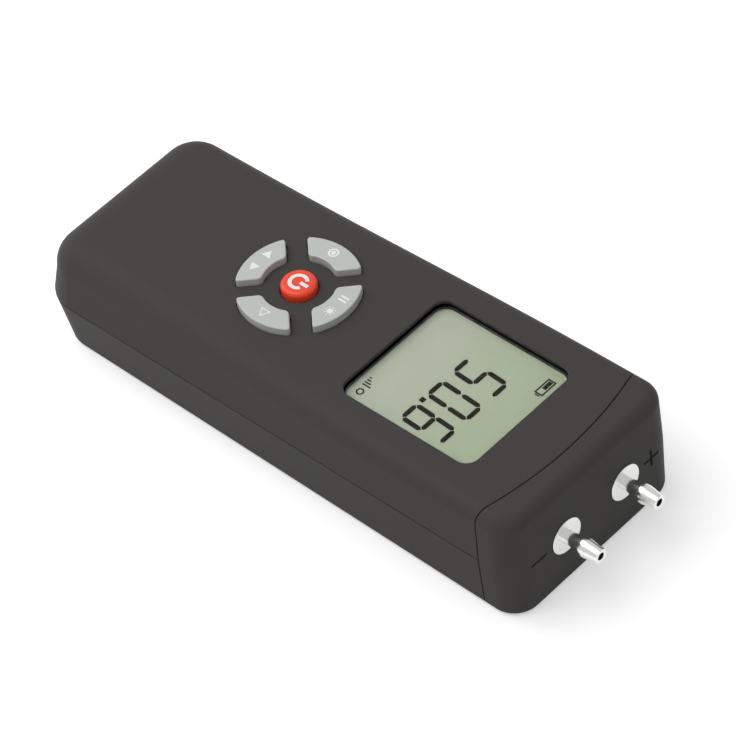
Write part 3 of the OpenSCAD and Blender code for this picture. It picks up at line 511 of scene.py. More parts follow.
def finish_piece(piece, material, body, slot, replaces=(), angle=38.0, weighted=True):
    """Material, smooth shading up to an angle, the body and what the piece stands for. The slot is not used.
    """
    coat(piece, material)
    piece.data.shade_smooth()
    piece.data.set_sharp_from_angle(angle=math.radians(angle))
    if weighted:
        even = piece.modifiers.new("even normals", "WEIGHTED_NORMAL")
        even.keep_sharp = True
    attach(piece, body)
    if replaces:
        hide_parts(*replaces)


def keep_piece(name, bm, *finish, **shading):
    """Makes a bmesh a finished piece."""
    finish_piece(loose_object(name, bm), *finish, **shading)


def apply_modifiers(piece):
    """Turns a piece's modifiers into its mesh."""
    graph = bpy.context.evaluated_depsgraph_get()
    made = bpy.data.meshes.new_from_object(piece.evaluated_get(graph))
    old = piece.data
    name = old.name
    piece.modifiers.clear()
    piece.data = made
    bpy.data.meshes.remove(old)
    made.name = name


def combine(piece, bm, operation):
    """Joins a closed bmesh to a piece, or cuts it out."""
    other = solid_object("tool", bm)
    step = piece.modifiers.new("combine", "BOOLEAN")
    step.operation = operation
    step.solver = "EXACT"
    step.object = other
    apply_modifiers(piece)
    bpy.data.objects.remove(other)


# Mesh helpers

def face_outwards(bm, sample):
    """Turns all faces if the one whose middle is furthest along a direction points the other way."""
    bmesh.ops.recalc_face_normals(bm, faces=bm.faces)
    way = Vector(sample)
    furthest = max(bm.faces, key=lambda face: face.calc_center_median().dot(way))
    if furthest.normal.dot(way) < 0:
        bmesh.ops.reverse_faces(bm, faces=bm.faces)


def add_mesh(bm, other):
    """Adds another bmesh to a bmesh."""
    mesh = bpy.data.meshes.new("added")
    other.to_mesh(mesh)
    other.free()
    bm.from_mesh(mesh)
    bpy.data.meshes.remove(mesh)


def round_off(bm, geom, width, segments, affect="EDGES"):
    """Rounds edges, or the corners of a flat face."""
    bmesh.ops.bevel(bm, geom=geom, offset=width, offset_type="OFFSET", segments=segments, profile=0.5,
                    affect=affect, material=-1, clamp_overlap=affect == "EDGES")


def raise_faces(bm, faces, rise):
    """Extrudes flat faces upwards into closed solids."""
    made = bmesh.ops.extrude_face_region(bm, geom=faces)["geom"]
    tops = [item for item in made if isinstance(item, bmesh.types.BMVert)]
    bmesh.ops.translate(bm, verts=tops, vec=(0, 0, rise))
    bmesh.ops.recalc_face_normals(bm, faces=bm.faces)


def block(bm, low, high):
    """A box between two corners."""
    low, high = Vector(low), Vector(high)
    place = Matrix.Translation((low + high) / 2) @ Matrix.Diagonal((*(high - low), 1))
    bmesh.ops.create_cube(bm, size=1.0, matrix=place)


def rod(bm, x, y, low, high, radius):
    """An upright cylinder."""
    bmesh.ops.create_cone(bm, cap_ends=True, segments=64, radius1=radius, radius2=radius,
                          depth=high - low, matrix=Matrix.Translation((x, y, (low + high) / 2)))


def turn_outline(bm, profile, centre, axis, steps=96):
    """Spins an outline of points (radius, distance along the axis) about an axis through a centre.

    An outline that starts off the axis is closed, and one that starts on it ends on it too.
    """
    before = set(bm.verts)
    centre, axis = Vector(centre), Vector(axis)
    verts = [bm.verts.new(centre + Vector((radius, 0, 0)) + axis * along) for radius, along in profile]
    pairs = list(zip(verts, verts[1:]))
    if profile[0][0] > 0:
        pairs.append((verts[-1], verts[0]))
    edges = [bm.edges.new(pair) for pair in pairs]
    bmesh.ops.spin(bm, geom=verts + edges, cent=centre, axis=axis, angle=math.tau, steps=steps,
                   use_merge=True)
    bmesh.ops.remove_doubles(bm, verts=[v for v in bm.verts if v not in before], dist=TOUCH)
    bmesh.ops.recalc_face_normals(bm, faces=bm.faces)


def quarter(radius, steps):
    """A quarter of a round edge: how far each point lies inwards and below the edge's two faces."""
    turns = [math.pi / 2 * i / steps for i in range(steps + 1)]
    return [(radius * (1 - math.cos(turn)), radius * (1 - math.sin(turn))) for turn in turns]


def bar_mark(bm, middle, x, y, width, height, turn=0.0):
    """A flat bar at an offset from a middle, turned about that middle."""
    place = (Matrix.Translation((*middle, 0)) @ Matrix.Rotation(turn, 4, "Z")
             @ Matrix.Translation((x, y, 0)) @ Matrix.Diagonal((width, height, 1, 1)))
    bmesh.ops.create_grid(bm, x_segments=1, y_segments=1, size=0.5, matrix=place)


def ring_mark(bm, middle, radius, stroke, start=0.0, angle=math.tau, steps=40):
    """A flat ring, or a part of one, or a disc where the stroke is the radius."""
    way = Vector((math.cos(start), math.sin(start), 0))
    centre = Vector((*middle, 0))
    ends = [bm.verts.new(centre + way * r) for r in (radius - stroke, radius)]
    bmesh.ops.spin(bm, geom=ends + [bm.edges.new(ends)], cent=centre, axis=(0, 0, 1), angle=angle,
                   steps=steps, use_merge=angle == math.tau)
    bmesh.ops.remove_doubles(bm, verts=bm.verts, dist=TOUCH)


def arrow_mark(bm, middle, radius, turn):
    """A flat triangle that points along a turn."""
    place = Matrix.Translation((*middle, 0)) @ Matrix.Rotation(turn - math.pi / 2, 4, "Z")
    bmesh.ops.create_circle(bm, cap_ends=True, segments=3, radius=radius, matrix=place)


def softened(node, name, material, body, slot, width, sharp=math.radians(30), flat=math.radians(1)):
    """A copy of a packed piece with its edges rounded, which stands for it."""
    bm = bmesh.new()
    bm.from_mesh(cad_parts[node].data)
    bmesh.ops.remove_doubles(bm, verts=bm.verts, dist=WELD)
    bmesh.ops.dissolve_limit(bm, angle_limit=flat, verts=bm.verts, edges=bm.edges)
    edges = [e for e in bm.edges if len(e.link_faces) == 2 and e.calc_face_angle() > sharp]
    round_off(bm, edges, width, 2)
    keep_piece(name, bm, material, body, slot, [node])


# The case's form

def way_along(y):
    """Share of the way from the grip end to the port end."""
    return (y - GRIP_Y) / CASE_L


def top_radius(case, y):
    """Radius of the top edge."""
    return mix(case.top_r_far, case.top_r_near, way_along(y))


def front_draft(case, y):
    """How far the front walls lean in up to the top edge."""
    lean = mix(case.front_draft_far, case.front_draft_near, way_along(y))
    return lean - case.top_swell * math.sin(math.pi * y / (CASE_L / 2))


def back_draft(case, y):
    """How far the rear walls lean in down to the back edge."""
    return mix(case.back_draft_far, case.back_draft_near, way_along(y))


def arch_y(case, x, side):
    """Where the arched seam's edge runs: side is -1 for the covers and 1 for the end cap."""
    radius = case.seam_r + side * case.seam / 2
    return END_Y - case.cap_len - case.seam_r + math.sqrt(radius * radius - x * x)


# A station is a place round the case: the centre, radius and angle of its corner, and how far it
# follows the seam's arch, from 0 to 1.

def corner_stations(x, y, r, start, steps):
    """Stations on a corner."""
    return [(x, y, r, start + math.pi / 2 * i / steps, 0.0) for i in range(steps + 1)]


def end_stations(from_x, to_x, y, r, angle, steps):
    """Stations across an end, between its two corners."""
    return [(mix(from_x, to_x, i / steps), y, r, angle, 0.0) for i in range(1, steps)]


def side_stations(case, sign, low_y, high_y, follow_low, steps):
    """Stations along a side from one y to another. Those near the seam follow its arch."""
    x = sign * (HALF_W - case.near_corner_r)
    angle = 0.0 if sign > 0 else math.pi
    made = []
    for i in range(steps):
        part = i / steps if follow_low else (i + 1) / steps
        follow = 1 - part if follow_low else part
        made.append((x, mix(low_y, high_y, part), case.near_corner_r, angle, follow))
    return made


def cover_stations(case, sides=26, corners=20, end=6):
    """Stations round a cover, from the seam down the left side, round the grip and up to the seam."""
    seam_y = arch_y(case, HALF_W, -1)
    r = case.far_corner_r
    x, y = HALF_W - r, GRIP_Y + r
    return (side_stations(case, -1, seam_y, y, True, sides)
            + corner_stations(-x, y, r, math.pi, corners)
            + end_stations(-x, x, y, r, 1.5 * math.pi, end)
            + corner_stations(x, y, r, 1.5 * math.pi, corners)
            + side_stations(case, 1, y, seam_y, False, sides))


def cap_stations(case, sides=4, corners=16, end=8):
    """Stations round the end cap, from the seam on the right round the port end to the left."""
    seam_y = arch_y(case, HALF_W, 1)
    r = case.near_corner_r
    x, y = HALF_W - r, END_Y - r
    return (side_stations(case, 1, seam_y, y, True, sides)
            + corner_stations(x, y, r, 0.0, corners)
            + end_stations(x, -x, y, r, math.pi / 2, end)
            + corner_stations(-x, y, r, math.pi / 2, corners)
            + side_stations(case, -1, y, seam_y, False, sides))


def form_point(case, station, ring, side):
    """A point of the case's form: a station round it and a ring that gives inset and height."""
    x, y, r, angle, follow = station
    inset, z = ring(y + r * math.sin(angle))
    px = x + (r - inset) * math.cos(angle)
    py = y + (r - inset) * math.sin(angle)
    return Vector((px, py + follow * (arch_y(case, px, side) - arch_y(case, HALF_W, side)), z))


def form_rings(case, start_z, face_z, draft, edge_r, walls, steps):
    """Rings from a height on a wall over the edge round a flat face.

    A ring gives the inset and the height at a place along the case. draft and edge_r are functions
    of that place too: the wall's lean and the edge's radius.
    """
    up = math.copysign(1, face_z - start_z)

    def wall(part):
        def ring(y):
            edge_z = face_z - up * edge_r(y)
            z = mix(start_z, edge_z, part)
            return draft(y) * (z - case.parting_h) / (edge_z - case.parting_h), z
        return ring

    def edge(turn):
        def ring(y):
            r = edge_r(y)
            return draft(y) + r * (1 - math.cos(turn)), face_z - up * r * (1 - math.sin(turn))
        return ring

    return ([wall(i / walls) for i in range(walls)]
            + [edge(math.pi / 2 * i / steps) for i in range(steps + 1)])


def front_rings(case, low_z):
    """Rings from a height on the front wall up over the top edge."""
    return form_rings(case, low_z, CASE_H, lambda y: front_draft(case, y), lambda y: top_radius(case, y),
                      walls=4, steps=12)


def rear_rings(case, high_z):
    """Rings from a height on the rear wall down over the back edge."""
    return form_rings(case, high_z, 0.0, lambda y: back_draft(case, y), lambda y: case.back_r,
                      walls=3, steps=8)


def skin(bm, case, stations, rings, side):
    """A grid laid on the case's form."""
    across, up = len(stations) - 1, len(rings) - 1
    made = bmesh.ops.create_grid(bm, x_segments=across, y_segments=up, size=0.5)["verts"]
    for vert in made:
        station = stations[round((vert.co.x + 0.5) * across)]
        ring = rings[round((vert.co.y + 0.5) * up)]
        vert.co = form_point(case, station, ring, side)


def seam_line(bm, case, z, side, steps=48):
    """Edges along the arched seam on a flat face, between the two ends of its outline."""
    ends = [v for v in bm.verts if abs(v.co.z - z) < TOUCH and v.link_edges
            and abs(v.co.y - arch_y(case, v.co.x, side)) < WELD]
    right = max(ends, key=lambda v: v.co.x)
    radius = case.seam_r + side * case.seam / 2
    centre = Vector((0, END_Y - case.cap_len - case.seam_r, z))
    start = bm.verts.new(right.co)
    bmesh.ops.spin(bm, geom=[start], cent=centre, axis=(0, 0, 1), steps=steps,
                   angle=2 * math.asin(right.co.x / radius))
    bmesh.ops.remove_doubles(bm, verts=bm.verts, dist=WELD)


def fill_flat(bm, z):
    """Fills the flat face at a height between its outline and the holes in it."""
    edges = [e for e in bm.edges if len(e.link_faces) < 2
             and all(abs(v.co.z - z) < TOUCH for v in e.verts)]
    bmesh.ops.triangle_fill(bm, use_beauty=True, edges=edges)


def round_plate_face(bm, width, depth, radius):
    """A flat rectangle with round corners about the origin."""
    before = set(bm.faces)
    made = bmesh.ops.create_grid(bm, x_segments=1, y_segments=1, size=0.5,
                                 matrix=Matrix.Diagonal((width, depth, 1, 1)))["verts"]
    round_off(bm, made, radius, 12, "VERTICES")
    return next(face for face in bm.faces if face not in before)


def shell(name, bm, case, thickness):
    """A skin as a closed wall, with the edges at its seams and openings rounded."""
    weight = bm.edges.layers.float.new("bevel_weight_edge")
    for edge in bm.edges:
        if edge.is_boundary:
            edge[weight] = 1.0
    made = loose_object(name, bm)
    wall = made.modifiers.new("wall", "SOLIDIFY")
    wall.thickness = thickness
    wall.offset = -1
    rounding = made.modifiers.new("rounding", "BEVEL")
    rounding.limit_method = "WEIGHT"
    rounding.width = case.edge
    rounding.segments = 3
    rounding.use_clamp_overlap = False
    apply_modifiers(made)
    return made


# Key forms

# Where each grey key lies about the power key, as an angle from +X
KEY_TURNS = {"right_key": 0.0, "upper_key": math.pi / 2, "left_key": math.pi, "lower_key": 1.5 * math.pi}


def key_face(bm, keys, grow, turn):
    """The flat outline of a grey key about the power key, grown by a play."""
    half, corner, crowd_share = math.pi / 4, math.radians(130), 1.7
    ends = [bm.verts.new((r * math.cos(half), -r * math.sin(half), 0))
            for r in (keys.in_r - grow, keys.out_r + grow)]
    before = set(bm.faces)
    bmesh.ops.spin(bm, geom=ends + [bm.edges.new(ends)], cent=(0, 0, 0), axis=(0, 0, 1),
                   angle=2 * half, steps=28)
    for sign in (-1, 1):
        faces = [f for f in bm.faces if f not in before]
        geom = list(dict.fromkeys([v for f in faces for v in f.verts] + [e for f in faces for e in f.edges]))
        out = Vector((-math.sin(half), sign * math.cos(half), 0))
        bmesh.ops.bisect_plane(bm, geom=geom + faces, dist=TOUCH, plane_no=out, clear_outer=True,
                               plane_co=out * -(keys.gap / 2 - grow))
    bmesh.ops.dissolve_faces(bm, faces=[f for f in bm.faces if f not in before])
    face = next(f for f in bm.faces if f not in before)
    corners = [loop.vert for loop in face.loops if loop.calc_angle() < corner]
    reach = keys.corner_r + grow
    crowded = [v for v in face.verts if v not in corners
               and min((v.co - end.co).length for end in corners) < crowd_share * reach]
    bmesh.ops.dissolve_verts(bm, verts=crowded)
    round_off(bm, corners, reach, 6, "VERTICES")
    face = next(f for f in bm.faces if f not in before)
    bmesh.ops.rotate(bm, verts=face.verts, cent=(0, 0, 0), matrix=Matrix.Rotation(turn, 3, "Z"))
    return face


def screw_places(back):
    """The four case screws' places."""
    near = (HALF_W - back.near_side, END_Y - back.near_end)
    far = (HALF_W - back.far_side, GRIP_Y + back.far_end)
    return [(sign * x, y) for sign in (-1, 1) for x, y in (near, far)]


# Operators

class MeterOperator:
    """What all the operators share."""
    bl_options = {"REGISTER", "UNDO"}


class METER_OT_front_cover(MeterOperator, bpy.types.Operator):
    """Front cover with the window and the five key holes"""
    bl_idname = "meter.front_cover"
    bl_label = "Front cover"

    def execute(self, context):
        case, keys = context.scene.meter_case, context.scene.meter_keys
        bm = bmesh.new()
        skin(bm, case, cover_stations(case), front_rings(case, case.parting_h + case.seam / 2), -1)
        seam_line(bm, case, CASE_H, -1)
        holes = self.holes(case, keys)
        outlines = holes.copy()
        bmesh.ops.delete(outlines, geom=outlines.faces[:], context="FACES_ONLY")
        add_mesh(bm, outlines)
        fill_flat(bm, CASE_H)
        inner = holes.faces[:]
        bmesh.ops.inset_region(holes, faces=inner, thickness=case.rim, use_boundary=True,
                               use_even_offset=True)
        bmesh.ops.delete(holes, geom=inner, context="FACES")
        add_mesh(bm, holes)
        bmesh.ops.remove_doubles(bm, verts=bm.verts, dist=WELD)
        face_outwards(bm, (0, 0, 1))
        piece = shell("front_shell", bm, case, case.lip)
        finish_piece(piece, housing_plastic(), "housing", "case_front", ["front_cover"])
        return {"FINISHED"}

    @staticmethod
    def holes(case, keys):
        """The window and the key holes as flat faces, each larger by a rim that lies round it."""
        bm = bmesh.new()
        rim = case.rim
        window = round_plate_face(bm, 2 * (HALF_W - case.window_side + rim), case.window_l + 2 * rim,
                                  case.window_r + rim)
        bmesh.ops.translate(bm, verts=window.verts, vec=(0, DISPLAY_Y, CASE_H))
        for turn in KEY_TURNS.values():
            face = key_face(bm, keys, keys.fit + rim, turn)
            bmesh.ops.translate(bm, verts=face.verts, vec=(0, KEYS_Y, CASE_H))
        bmesh.ops.create_circle(bm, segments=72, radius=keys.power_r + keys.fit + rim, cap_ends=True,
                                matrix=Matrix.Translation((0, KEYS_Y, CASE_H)))
        return bm


class METER_OT_rear_cover(MeterOperator, bpy.types.Operator):
    """Rear cover with the battery bay, the door's slot and the screw seats"""
    bl_idname = "meter.rear_cover"
    bl_label = "Rear cover"

    def execute(self, context):
        case, back = context.scene.meter_case, context.scene.meter_back
        bm = bmesh.new()
        skin(bm, case, cover_stations(case), rear_rings(case, case.parting_h - case.seam / 2), -1)
        seam_line(bm, case, 0.0, -1)
        fill_flat(bm, 0.0)
        face_outwards(bm, (0, 0, -1))
        piece = shell("rear_shell", bm, case, case.shell)
        combine(piece, self.inner(case, back), "UNION")
        combine(piece, self.cuts(back), "DIFFERENCE")
        finish_piece(piece, housing_plastic(), "housing", "case_rear", ["rear_cover"])
        return {"FINISHED"}

    @staticmethod
    def inner(case, back):
        """The bay's block, the runner plate and the screw seats, sunk into the skin by a share of it."""
        block_share, plate_share = 0.5, 0.55
        bay = back.battery_fit + back.bay_wall
        low = case.shell * block_share
        bm = bmesh.new()
        block(bm, (-BATTERY_HIGH.x - bay, BATTERY_LOW.y - bay, low),
              (BATTERY_HIGH.x + bay, SNAP_HIGH.y + bay, BATTERY_HIGH.z + bay))
        for x, y in screw_places(back):
            rod(bm, x, y, low, case.parting_h - case.seam / 2, back.head_r + back.screw_fit + back.head_wall)
        whole = solid_object("inner block", bm)
        runner = back.fit + back.bay_wall
        plate = bmesh.new()
        block(plate, (-DOOR_HIGH.x - runner, GRIP_Y + case.back_draft_far + case.back_r,
                      case.shell * plate_share),
              (DOOR_HIGH.x + runner, DOOR_HIGH.y + runner, DOOR_HIGH.z + runner))
        combine(whole, plate, "UNION")
        return taken_mesh(whole)

    @staticmethod
    def cuts(back):
        """The bay's inside, the door's slot with its tongues and end bar, and the screw seats."""
        slot_x = back.door_w / 2 + back.fit
        slot_y = DOOR_HIGH.y + back.fit
        slot_z = DOOR_HIGH.z + back.fit
        open_y = GRIP_Y - OVERRUN
        bay_x = BATTERY_HIGH.x + back.battery_fit
        bar_x = DOOR_HIGH.x + back.fit
        parts = [
            ((-bay_x, BATTERY_LOW.y - back.battery_fit, -OVERRUN),
             (bay_x, SNAP_HIGH.y + back.battery_fit, BATTERY_HIGH.z + back.battery_fit)),
            ((-slot_x, open_y, -OVERRUN), (slot_x, slot_y, slot_z)),
            ((-slot_x - back.tongue_w, open_y, DOOR_HIGH.z - back.tongue_t - back.fit),
             (slot_x + back.tongue_w, slot_y, slot_z)),
            ((-bar_x, open_y, -OVERRUN), (bar_x, GRIP_Y + back.bar_len + back.fit, slot_z)),
        ]
        boxes = [bmesh.new() for _ in parts]
        for bm, corners in zip(boxes, parts):
            block(bm, *corners)
        whole = solid_object("cut", boxes[0])
        for bm in boxes[1:]:
            combine(whole, bm, "UNION")
        bm = taken_mesh(whole)
        for x, y in screw_places(back):
            rod(bm, x, y, -OVERRUN, back.head_depth, back.head_r + back.screw_fit)
        return bm


class METER_OT_end_cap(MeterOperator, bpy.types.Operator):
    """End cap with the flanges' recesses and the sunk signs"""
    bl_idname = "meter.end_cap"
    bl_label = "End cap"

    def execute(self, context):
        case, ports = context.scene.meter_case, context.scene.meter_ports
        bm = bmesh.new()
        rings = rear_rings(case, case.parting_h)[::-1] + front_rings(case, case.parting_h)[1:]
        skin(bm, case, cap_stations(case), rings, 1)
        for z in (CASE_H, 0.0):
            seam_line(bm, case, z, 1)
            fill_flat(bm, z)
        face_outwards(bm, (0, 1, 0))
        piece = shell("end_cap_shell", bm, case, case.shell)
        combine(piece, self.recesses(case, ports), "DIFFERENCE")
        sign_x = PORT_X + ports.flange_r + case.sign_gap + case.sign_len / 2
        level = bmesh.new()
        for x in (-sign_x, sign_x):
            self.stroke(level, case, x, case.sign_len, case.sign_stroke)
        combine(piece, level, "DIFFERENCE")
        upright = bmesh.new()
        self.stroke(upright, case, -sign_x, case.sign_stroke, case.sign_len)
        combine(piece, upright, "DIFFERENCE")
        finish_piece(piece, housing_plastic(), "housing", "case_rear", ["end_cap"])
        return {"FINISHED"}

    @staticmethod
    def recesses(case, ports):
        """The flanges' recesses with their bores."""
        bm = bmesh.new()
        floor = END_Y - ports.flange_t + ports.flange_rise
        recess = ports.flange_r + ports.fit
        bore = ports.shank_r + ports.fit
        inside = END_Y - 3 * OVERRUN - case.shell
        profile = [(0, inside), (bore, inside), (bore, floor), (recess, floor),
                   (recess, END_Y - case.edge / 2), (recess + case.edge, END_Y + case.edge / 2),
                   (recess + case.edge, END_Y + OVERRUN), (0, END_Y + OVERRUN)]
        for x in (-PORT_X, PORT_X):
            turn_outline(bm, profile, (x, 0, PORT_Z), (0, 1, 0))
        return bm

    @staticmethod
    def stroke(bm, case, x, width, height):
        """A block that cuts one stroke of a sign."""
        block(bm, (x - width / 2, END_Y - case.sign_depth, PORT_Z - height / 2),
              (x + width / 2, END_Y + case.sign_depth, PORT_Z + height / 2))


class METER_OT_keys(MeterOperator, bpy.types.Operator):
    """Four grey arc keys and the round red power key"""
    bl_idname = "meter.keys"
    bl_label = "Keys"

    def execute(self, context):
        keys, finish = context.scene.meter_keys, context.scene.meter_finish
        grey = moulded("grey silicone", finish.key_grey, 0.44, grain=3200.0, depth=0.004 * MM)
        red = moulded("red silicone", finish.key_red, 0.36, grain=3200.0, depth=0.003 * MM,
                      Subsurface_Weight=0.5, Subsurface_Scale=3.0 * MM)
        white = moulded("white print", finish.print_white, 0.5, grain=4200.0, depth=0.002 * MM)
        for name, turn in KEY_TURNS.items():
            self.grey_key(keys, name, turn, grey)
            self.grey_mark(keys, name, turn, white)
        self.power_key(keys, red)
        self.power_mark(keys, white)
        return {"FINISHED"}

    @staticmethod
    def grey_key(keys, name, turn, material):
        """A grey key with its round upper edge and its flange under the cover."""
        bm = bmesh.new()
        face = key_face(bm, keys, 0.0, turn)
        bmesh.ops.translate(bm, verts=face.verts, vec=(0, KEYS_Y, CASE_H - keys.root))
        raise_faces(bm, [face], UPPER_HIGH.z - CASE_H + keys.root)
        rim = [e for e in bm.edges if all(abs(v.co.z - UPPER_HIGH.z) < TOUCH for v in e.verts)]
        round_off(bm, rim, keys.edge, 5)
        flange = key_face(bm, keys, keys.fit + keys.lap, turn)
        bmesh.ops.translate(bm, verts=flange.verts, vec=(0, KEYS_Y, CASE_H - keys.flange_drop))
        raise_faces(bm, [flange], keys.flange_t)
        keep_piece(name + "_cap", bm, material, name.replace("_key", "_button"), "grey_key", [name])

    @staticmethod
    def grey_mark(keys, name, turn, material):
        """A plain printed mark: bars and a sun, two arrows, a dot in a ring, or a triangle."""
        bm = bmesh.new()
        size, line = keys.mark, keys.stroke
        if name == "upper_key":
            sun_share, ray_from, ray_length, ray_width, rays = 0.32, 0.52, 0.2, 0.11, 8
            for side in (-1, 1):
                bar_mark(bm, (-size, 0), side * line, 0, line, size)
            ring_mark(bm, (size, 0), sun_share * size, sun_share * size)
            for ray in range(rays):
                bar_mark(bm, (size, 0), ray_from * size, 0, ray_length * size, ray_width * size,
                         math.tau * ray / rays)
        elif name == "lower_key":
            arrow_share = 0.62
            for side in (0, math.pi):
                arrow_mark(bm, (size * math.cos(side), 0), arrow_share * size, side)
        elif name == "left_key":
            ring_share, ring_width, dot_share = 0.58, 0.2, 0.26
            ring_mark(bm, (0, 0), ring_share * size, ring_width * size)
            ring_mark(bm, (0, 0), dot_share * size, dot_share * size)
        else:
            outer_share, outer_width, low_share = 0.72, 0.24, 0.12
            ring_mark(bm, (0, -low_share * size), outer_share * size, outer_width * size,
                      start=math.pi / 2, steps=3)
        raise_faces(bm, bm.faces[:], keys.mark_h)
        r = (keys.in_r + keys.out_r) / 2
        place = (Matrix.Translation((r * math.cos(turn), KEYS_Y + r * math.sin(turn), UPPER_HIGH.z))
                 @ Matrix.Rotation(turn - math.pi / 2, 4, "Z"))
        bmesh.ops.transform(bm, matrix=place, verts=bm.verts)
        keep_piece(name.replace("_key", "_mark"), bm, material, name.replace("_key", "_button"),
                   "white_plastic", weighted=False)

    @staticmethod
    def power_key(keys, material):
        """The round red key with its flange and its stem."""
        bm = bmesh.new()
        top = POWER_HIGH.z - 2 * keys.mark_h
        flange = CASE_H - keys.flange_drop
        r = keys.power_r
        flange_r = r + keys.fit + keys.lap
        crown = [(r - inwards, top - below) for inwards, below in quarter(keys.power_edge, 8)]
        profile = [(0, POWER_LOW.z), (keys.stem_r, POWER_LOW.z), (keys.stem_r, flange), (flange_r, flange),
                   (flange_r, flange + keys.flange_t), (r, flange + keys.flange_t), *crown, (0, top)]
        turn_outline(bm, profile, (0, KEYS_Y, 0), (0, 0, 1))
        keep_piece("power_key_cap", bm, material, "power_button", "red_key", ["power_key"])

    @staticmethod
    def power_mark(keys, material):
        """A broken ring with a bar through its gap."""
        bm = bmesh.new()
        opening = math.radians(76)
        ring_mark(bm, (0, 0), keys.power_mark_r, keys.power_stroke, start=math.pi / 2 + opening / 2,
                  angle=math.tau - opening, steps=60)
        bar_mark(bm, (0, keys.power_bar_low), 0, keys.power_bar / 2, keys.power_stroke, keys.power_bar)
        raise_faces(bm, bm.faces[:], keys.mark_h)
        bmesh.ops.translate(bm, verts=bm.verts, vec=(0, KEYS_Y, POWER_HIGH.z - 2 * keys.mark_h))
        keep_piece("power_mark", bm, material, "power_button", "white_plastic", weighted=False)


class METER_OT_back_parts(MeterOperator, bpy.types.Operator):
    """Battery door and the four cross-head case screws"""
    bl_idname = "meter.back_parts"
    bl_label = "Door and screws"

    def execute(self, context):
        back = context.scene.meter_back
        softened("battery_door", "battery_door_moulded", housing_plastic(), "door", "case_rear", 0.15 * MM)
        low, top = SCREW_LOW.z, SCREW_HIGH.z
        crown = [(back.head_r - inwards, low + above)
                 for inwards, above in reversed(quarter(back.head_edge, 4))]
        profile = [(0, low), *crown, (back.head_r, low + back.head_h), (back.shank_r, low + back.head_h),
                   (back.shank_r, top - back.shank_r), (0, top)]
        bm = bmesh.new()
        for x, y in screw_places(back):
            turn_outline(bm, profile, (x, y, 0), (0, 0, 1), 48)
        piece = solid_object("case_screws_turned", bm)
        for width, depth in ((back.cross_w, back.cross_l), (back.cross_l, back.cross_w)):
            bm = bmesh.new()
            for x, y in screw_places(back):
                block(bm, (x - width / 2, y - depth / 2, low - back.cross_w),
                      (x + width / 2, y + depth / 2, low + back.cross_deep))
            combine(piece, bm, "DIFFERENCE")
        steel = moulded("blackened steel", (0.16, 0.16, 0.165), 0.35, grain=1800.0, Metallic=1.0)
        finish_piece(piece, steel, "housing", "dark_steel", ["case_screws"])
        return {"FINISHED"}


class METER_OT_ports(MeterOperator, bpy.types.Operator):
    """Two turned and plated hose ports"""
    bl_idname = "meter.ports"
    bl_label = "Hose ports"

    def execute(self, context):
        ports, finish = context.scene.meter_ports, context.scene.meter_finish
        profile = self.profile(ports)
        for name, x in (("plus_port", -PORT_X), ("minus_port", PORT_X)):
            bm = bmesh.new()
            turn_outline(bm, profile, (x, 0, PORT_Z), (0, 1, 0), 120)
            metal = turned("nickel plate, " + name.replace("_port", ""), finish.plated, x, PORT_Z,
                           END_Y + ports.flange_rise + ports.flange_edge)
            keep_piece(name + "_turned", bm, metal, "housing", "plated", [name], angle=32.0)
        return {"FINISHED"}

    @staticmethod
    def profile(ports):
        """A port's outline from its inner stub over the flange, the neck and the barb to the tip."""
        tip, nose = PORT_HIGH.y, ports.nose
        front = END_Y + ports.flange_rise
        rear = front - ports.flange_t
        land = tip - ports.cone
        head = land - ports.land
        stub_end = PORT_LOW.y + ports.stub_len
        return [
            (ports.bore_r, PORT_LOW.y), (ports.stub_r, PORT_LOW.y),
            (ports.stub_r, stub_end), (ports.shank_r, stub_end),
            (ports.shank_r, rear), (ports.flange_r - nose, rear), (ports.flange_r, rear + nose),
            (ports.flange_r, front - nose), (ports.flange_r - nose, front), (ports.neck_r + 2 * nose, front),
            (ports.neck_r + nose / 2, front + nose / 2), (ports.neck_r, front + 2 * nose),
            (ports.neck_r, head - nose / 2), (ports.neck_r + nose / 2, head), (ports.barb_r - nose, head),
            (ports.barb_r, head + nose), (ports.barb_r, land - nose / 2),
            (ports.barb_r - nose / 2, land + nose), (ports.tip_r + nose / 2, tip - nose),
            (ports.tip_r - nose, tip),
            (ports.bore_r + nose, tip), (ports.bore_r, tip - nose),
        ]


SEGMENTS = {  # top, upper left, upper right, middle, lower left, lower right, bottom
    "0": "1110111", "1": "0010010", "2": "1011101", "3": "1011011", "4": "0111010",
    "5": "1101011", "6": "1101111", "7": "1010010", "8": "1111111", "9": "1111011",
}


